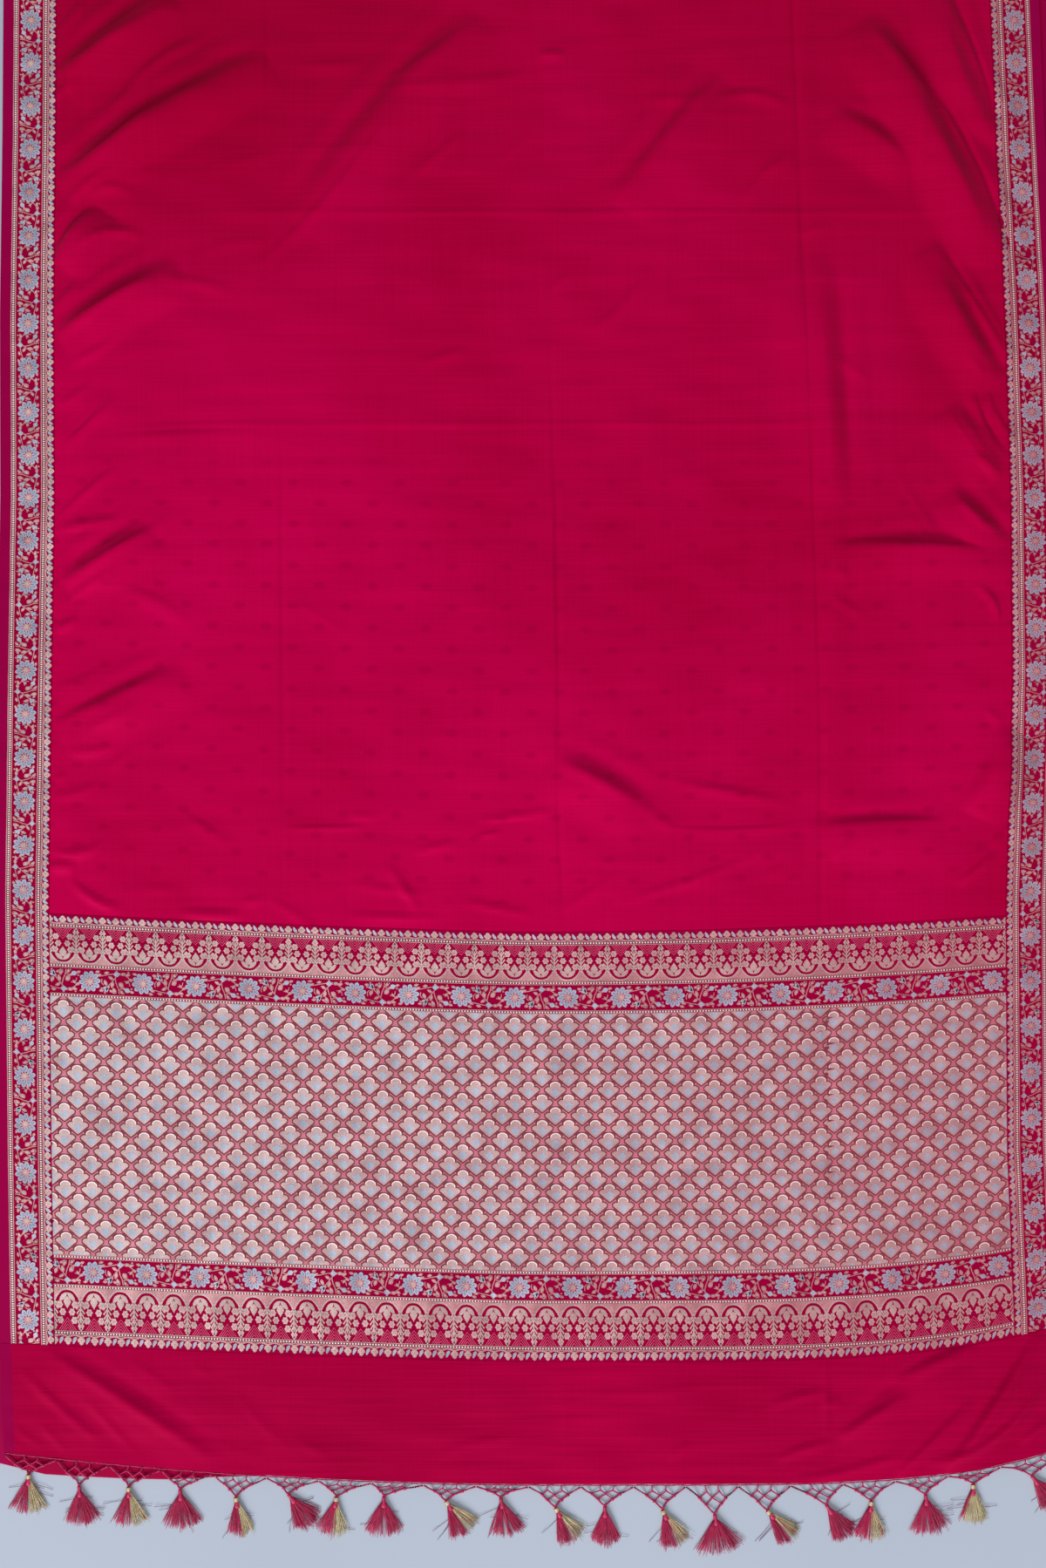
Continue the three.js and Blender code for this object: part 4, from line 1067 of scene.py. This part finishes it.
def makeNet():
    cords = Bundle()
    for t in range(len(tasselRows)):
        places = {}
        for key, spot in knots.items():
            jitter = rng.uniform(-net["loose"], net["loose"], 2)
            places[key] = np.array(spot) + (0 if key in fixedKnots else jitter)
        for run in edgeCords + innerCords:
            a, b = places[run[0]], places[run[1]]
            s = np.linspace(0, 1, 8)[:, None]
            line = a + (b - a) * s
            bulge = rng.uniform(-net["bulge"], net["bulge"]) * np.sin(math.pi * s[:, 0])
            path = latticePoint(t, line[:, 0] + bulge, line[:, 1])
            thick = run in edgeCords
            radius = net["edge"] if thick else net["inner"]
            path[:, 2] += net["lift"] * rng.uniform(0, 1) + (0 if thick else net["innerLift"])
            uneven = 1 + net["uneven"] * np.sin(9 * s[:, 0])
            cords.addTube(path, radius * uneven, 5, net["twist"], net["flat"])
        for key in edgeKnots + innerKnots:
            size = net["knot"] * (1 if key in edgeKnots else net["smallKnot"])
            centre = latticePoint(t, *places[key])
            size *= rng.uniform(*net["knotUneven"])
            cords.addKnot(centre + [0, 0, net["knotLift"]], size, rng.uniform(0, 6))
    us = steps(cloth["leftEdge"] + hemCord["inset"], cloth["rightEdge"] - hemCord["inset"], hemCord["step"])
    drop = hemCord["at"] + hemCord["sway"] * np.sin(us / hemCord["swayLength"])
    thick = hemCord["thick"] * (1 + hemCord["uneven"] * np.sin(us * hemCord["rate"]))
    cords.addTube(netPoint(us, drop, hemCord["neckDrop"]), thick, 6, hemCord["twist"], hemCord["flat"])
    piece = cords.finish("knottedNet", thread["cordThread"], "crimson_thread")
    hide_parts("knotted_net")
    return piece


netPiece = makeNet()

# Tassels: made pointing along -y from the neck, then turned and set at the end of their lattice
tassel = dict(threads=128, rings=5, length=42.0, spread=1.22, scatter=2.6, uneven=0.05, root=6.0, thick=0.36,
              sideShorter=0.2, strays=7, gilt=0.93, giltFrom=0.05, moreGilt={18: -0.75}, lowest=-2.45)
strand = dict(outward=0.85, shorter=1.5, bow=0.5, rootHalf=1.6, rootHigh=1.6, tip=1.0, tipSpread=0.8,
              fall=1.3, wave=0.6, uneven=(0.8, 1.15), thinner=0.35, clear=0.05)
stray = dict(lean=(15, 75), reach=(14, 34), start=(10, 26), points=9, thick=0.24, high=0.9, wave=0.5)
wrap = dict(turns=4.5, points=55, radius=2.35, top=1.5, tall=3.5, thick=0.48)
headRows = [  # distance from the neck, radius
    (0.2, 1.0), (0.8, 1.8), (1.6, 2.1), (3.2, 1.95), (4.8, 1.9), (5.8, 2.1), (7.0, 2.5), (8.5, 2.9),
    (10.5, 3.1), (12.5, 2.4),
]


def setAtNeck(points, t):
    lean = math.radians(tasselRows[t][2])
    x, y, _ = latticePoint(t, 0.5, 1.0)
    spin = np.array([[math.cos(lean), math.sin(lean), 0], [-math.sin(lean), math.cos(lean), 0], [0, 0, 1]])
    return points @ spin + np.array([x, y, net["neck"]])


def headRings():
    angle = np.arange(10) * 2 * math.pi / 10
    rings = []
    for s, r in headRows:
        flat = 1.0 if s < tassel["root"] else 0.8
        swell = r * (1 + 0.06 * np.sin(5 * angle + s))
        z = np.maximum(swell * flat * np.sin(angle), tassel["lowest"])
        rings.append(np.stack([swell * np.cos(angle), -s + 0 * angle, z], -1))
    return np.array(rings)[:, ::-1]


def wrapRings():
    coil = np.linspace(0, wrap["turns"] * 2 * math.pi, wrap["points"])
    down = -wrap["top"] - wrap["tall"] * coil / coil[-1]
    path = np.stack([wrap["radius"] * np.cos(coil), down, wrap["radius"] * np.sin(coil)], -1)
    way = np.gradient(path, axis=0)
    way /= np.linalg.norm(way, axis=1)[:, None]
    out = np.stack([np.cos(coil), 0 * coil, np.sin(coil)], -1)
    side = np.cross(way, out)
    corner = (np.arange(6) * math.pi / 3)[None, :, None]
    return path[:, None] + wrap["thick"] * (out[:, None] * np.cos(corner) + side[:, None] * np.sin(corner))


def addThread(t, crimson, golden):
    share = rng.uniform(-1, 1)
    share = math.copysign(abs(share) ** strand["outward"], share)
    spread = math.radians(tassel["spread"] * tasselRows[t][3] * share + rng.normal(0, tassel["scatter"]))
    reach = 1 - tassel["sideShorter"] * abs(share) ** strand["shorter"] + rng.normal(0, tassel["uneven"])
    s = np.linspace(0, 1, tassel["rings"])
    down = tassel["root"] + (tassel["length"] * reach - tassel["root"]) * s
    layer = rng.uniform(-1, 1)
    bow = rng.normal(0, strand["bow"])
    x = strand["rootHalf"] * share + (down - tassel["root"]) * math.tan(spread) + bow * np.sin(math.pi * s)
    tip = strand["tip"] + strand["tipSpread"] * layer - net["neck"]
    fall = (1 - s) ** strand["fall"]
    wave = rng.uniform(0, strand["wave"]) * np.sin(math.pi * s)
    z = fall * layer * strand["rootHigh"] + (1 - fall) * tip + wave
    path = setAtNeck(np.stack([x, -down, z], -1), t)
    path[:, 2] = np.maximum(path[:, 2], tassel["thick"] + strand["clear"])
    giltFrom = tassel["moreGilt"].get(t, tassel["giltFrom"])
    gold = t % 2 == 0 and share > giltFrom and rng.uniform() < tassel["gilt"]
    thick = tassel["thick"] * rng.uniform(*strand["uneven"]) * (1 - strand["thinner"] * s)
    (golden if gold else crimson).addTube(path, thick, 3)


def addStray(t, strays):
    way = math.radians(rng.uniform(*stray["lean"]) * rng.choice([-1, 1]))
    step = rng.uniform(*stray["reach"]) / stray["points"]
    s = np.linspace(0, 1, stray["points"])
    start = rng.uniform(*stray["start"])
    turn = way + rng.normal(0, 0.5) * s
    x = np.cumsum(np.sin(turn)) * step
    y = -start - np.cumsum(np.cos(turn)) * step * rng.uniform(0.2, 0.9)
    path = setAtNeck(np.stack([x, np.maximum(y, -tassel["length"] - 1), 0 * s], -1), t)
    path[:, 2] = stray["high"] + stray["wave"] * np.sin(s * 5 + t)
    strays.addTube(path, stray["thick"], 3)


def makeTassels():
    crimson, golden, wraps, strays = Bundle(), Bundle(), Bundle(), Bundle()
    for t in range(len(tasselRows)):
        crimson.addGrid(setAtNeck(headRings(), t))
        for _ in range(tassel["threads"]):
            addThread(t, crimson, golden)
        for _ in range(tassel["strays"]):
            addStray(t, strays)
        if t % 2 == 0:
            wraps.addGrid(setAtNeck(wrapRings(), t))
    names = ["tassel_%02d" % (t + 1) for t in range(len(tasselRows))]
    crimsonPiece = crimson.finish("tasselThreads", thread["crimsonThread"], "crimson_thread")
    goldenPiece = golden.finish("tasselGoldThreads", thread["goldThread"], "gold_thread")
    wrapPiece = wraps.finish("goldWraps", thread["goldThread"], "gold_thread")
    strayPiece = strays.finish("strayThreads", thread["strayThread"], "crimson_thread")
    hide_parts(*names)
    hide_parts(*names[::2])
    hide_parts(*["gold_wrap_%02d" % (t + 1) for t in range(0, len(tasselRows), 2)])
    return [crimsonPiece, goldenPiece, wrapPiece, strayPiece]


tasselPieces = makeTassels()
print("net and tassels made")

# Camera over the hem half of the cloth, a little towards the fringe
eye = dict(lens=50.0, sensor=36.0, aim=(-7.1, -136.0, 5.1), away=2332.95, tilt=1.5, near=0.05)
camera = bpy.data.objects.new("camera", bpy.data.cameras.new("camera"))
bpy.context.scene.collection.objects.link(camera)
camera.data.lens = eye["lens"]
camera.data.sensor_width = eye["sensor"]
camera.data.clip_start = eye["near"]
tilt = math.radians(eye["tilt"])
aim = Vector(eye["aim"]) * mm
camera.location = aim + Vector((0, -math.sin(tilt), math.cos(tilt))) * eye["away"] * mm
camera.rotation_euler = (tilt, 0, 0)
bpy.context.scene.camera = camera

# Pale floor and soft lights
studio = dict(floor=6.0, floorLow=-0.0004, dark=srgb(160, 168, 182), light=srgb(170, 178, 192),
              sky=(0.9, 0.95, 1.0, 1.0), skyPower=0.31)
lampRows = [  # name, place, size, power
    ("windowLamp", (-2.4, -6.0, 4.0), 4.0, 640.0), ("fillLamp", (0.3, 0.2, 3.4), 2.4, 42.0),
]
floorLook = Look("paleFloor", Roughness=0.75, Specular_IOR_Level=0.2)
floorTone = floorLook.noise(floorLook.stretched(2.2, 2.2, 2.2), 3.0)
floorLook.feed("Base Color", floorLook.mix(floorTone, studio["dark"], studio["light"]))
corners = [(x * studio["floor"], y * studio["floor"], studio["floorLow"])
           for x, y in ((-1, -1), (1, -1), (1, 1), (-1, 1))]
floorMesh = bpy.data.meshes.new("floor")
floorMesh.from_pydata(corners, [], [(0, 1, 2, 3)])
floorMesh.materials.append(floorLook.material)
floor = bpy.data.objects.new("floor", floorMesh)
bpy.context.scene.collection.objects.link(floor)

world = bpy.data.worlds.new("studio")
bpy.context.scene.world = world
world.use_nodes = True
sky = world.node_tree.nodes["Background"]
sky.inputs[0].default_value = studio["sky"]
sky.inputs[1].default_value = studio["skyPower"]
for lampName, at, size, power in lampRows:
    lamp = bpy.data.lights.new(lampName, "AREA")
    lamp.size = size
    lamp.energy = power
    holder = bpy.data.objects.new(lampName, lamp)
    holder.location = at
    holder.rotation_euler = (Vector((0, 0, 0)) - Vector(at)).to_track_quat("-Z", "Y").to_euler()
    bpy.context.scene.collection.objects.link(holder)
bpy.context.scene.view_settings.view_transform = "Standard"
print("camera, floor and lights set")

print("triangles", sum(counts), "in all and", max(counts), "in the largest piece")
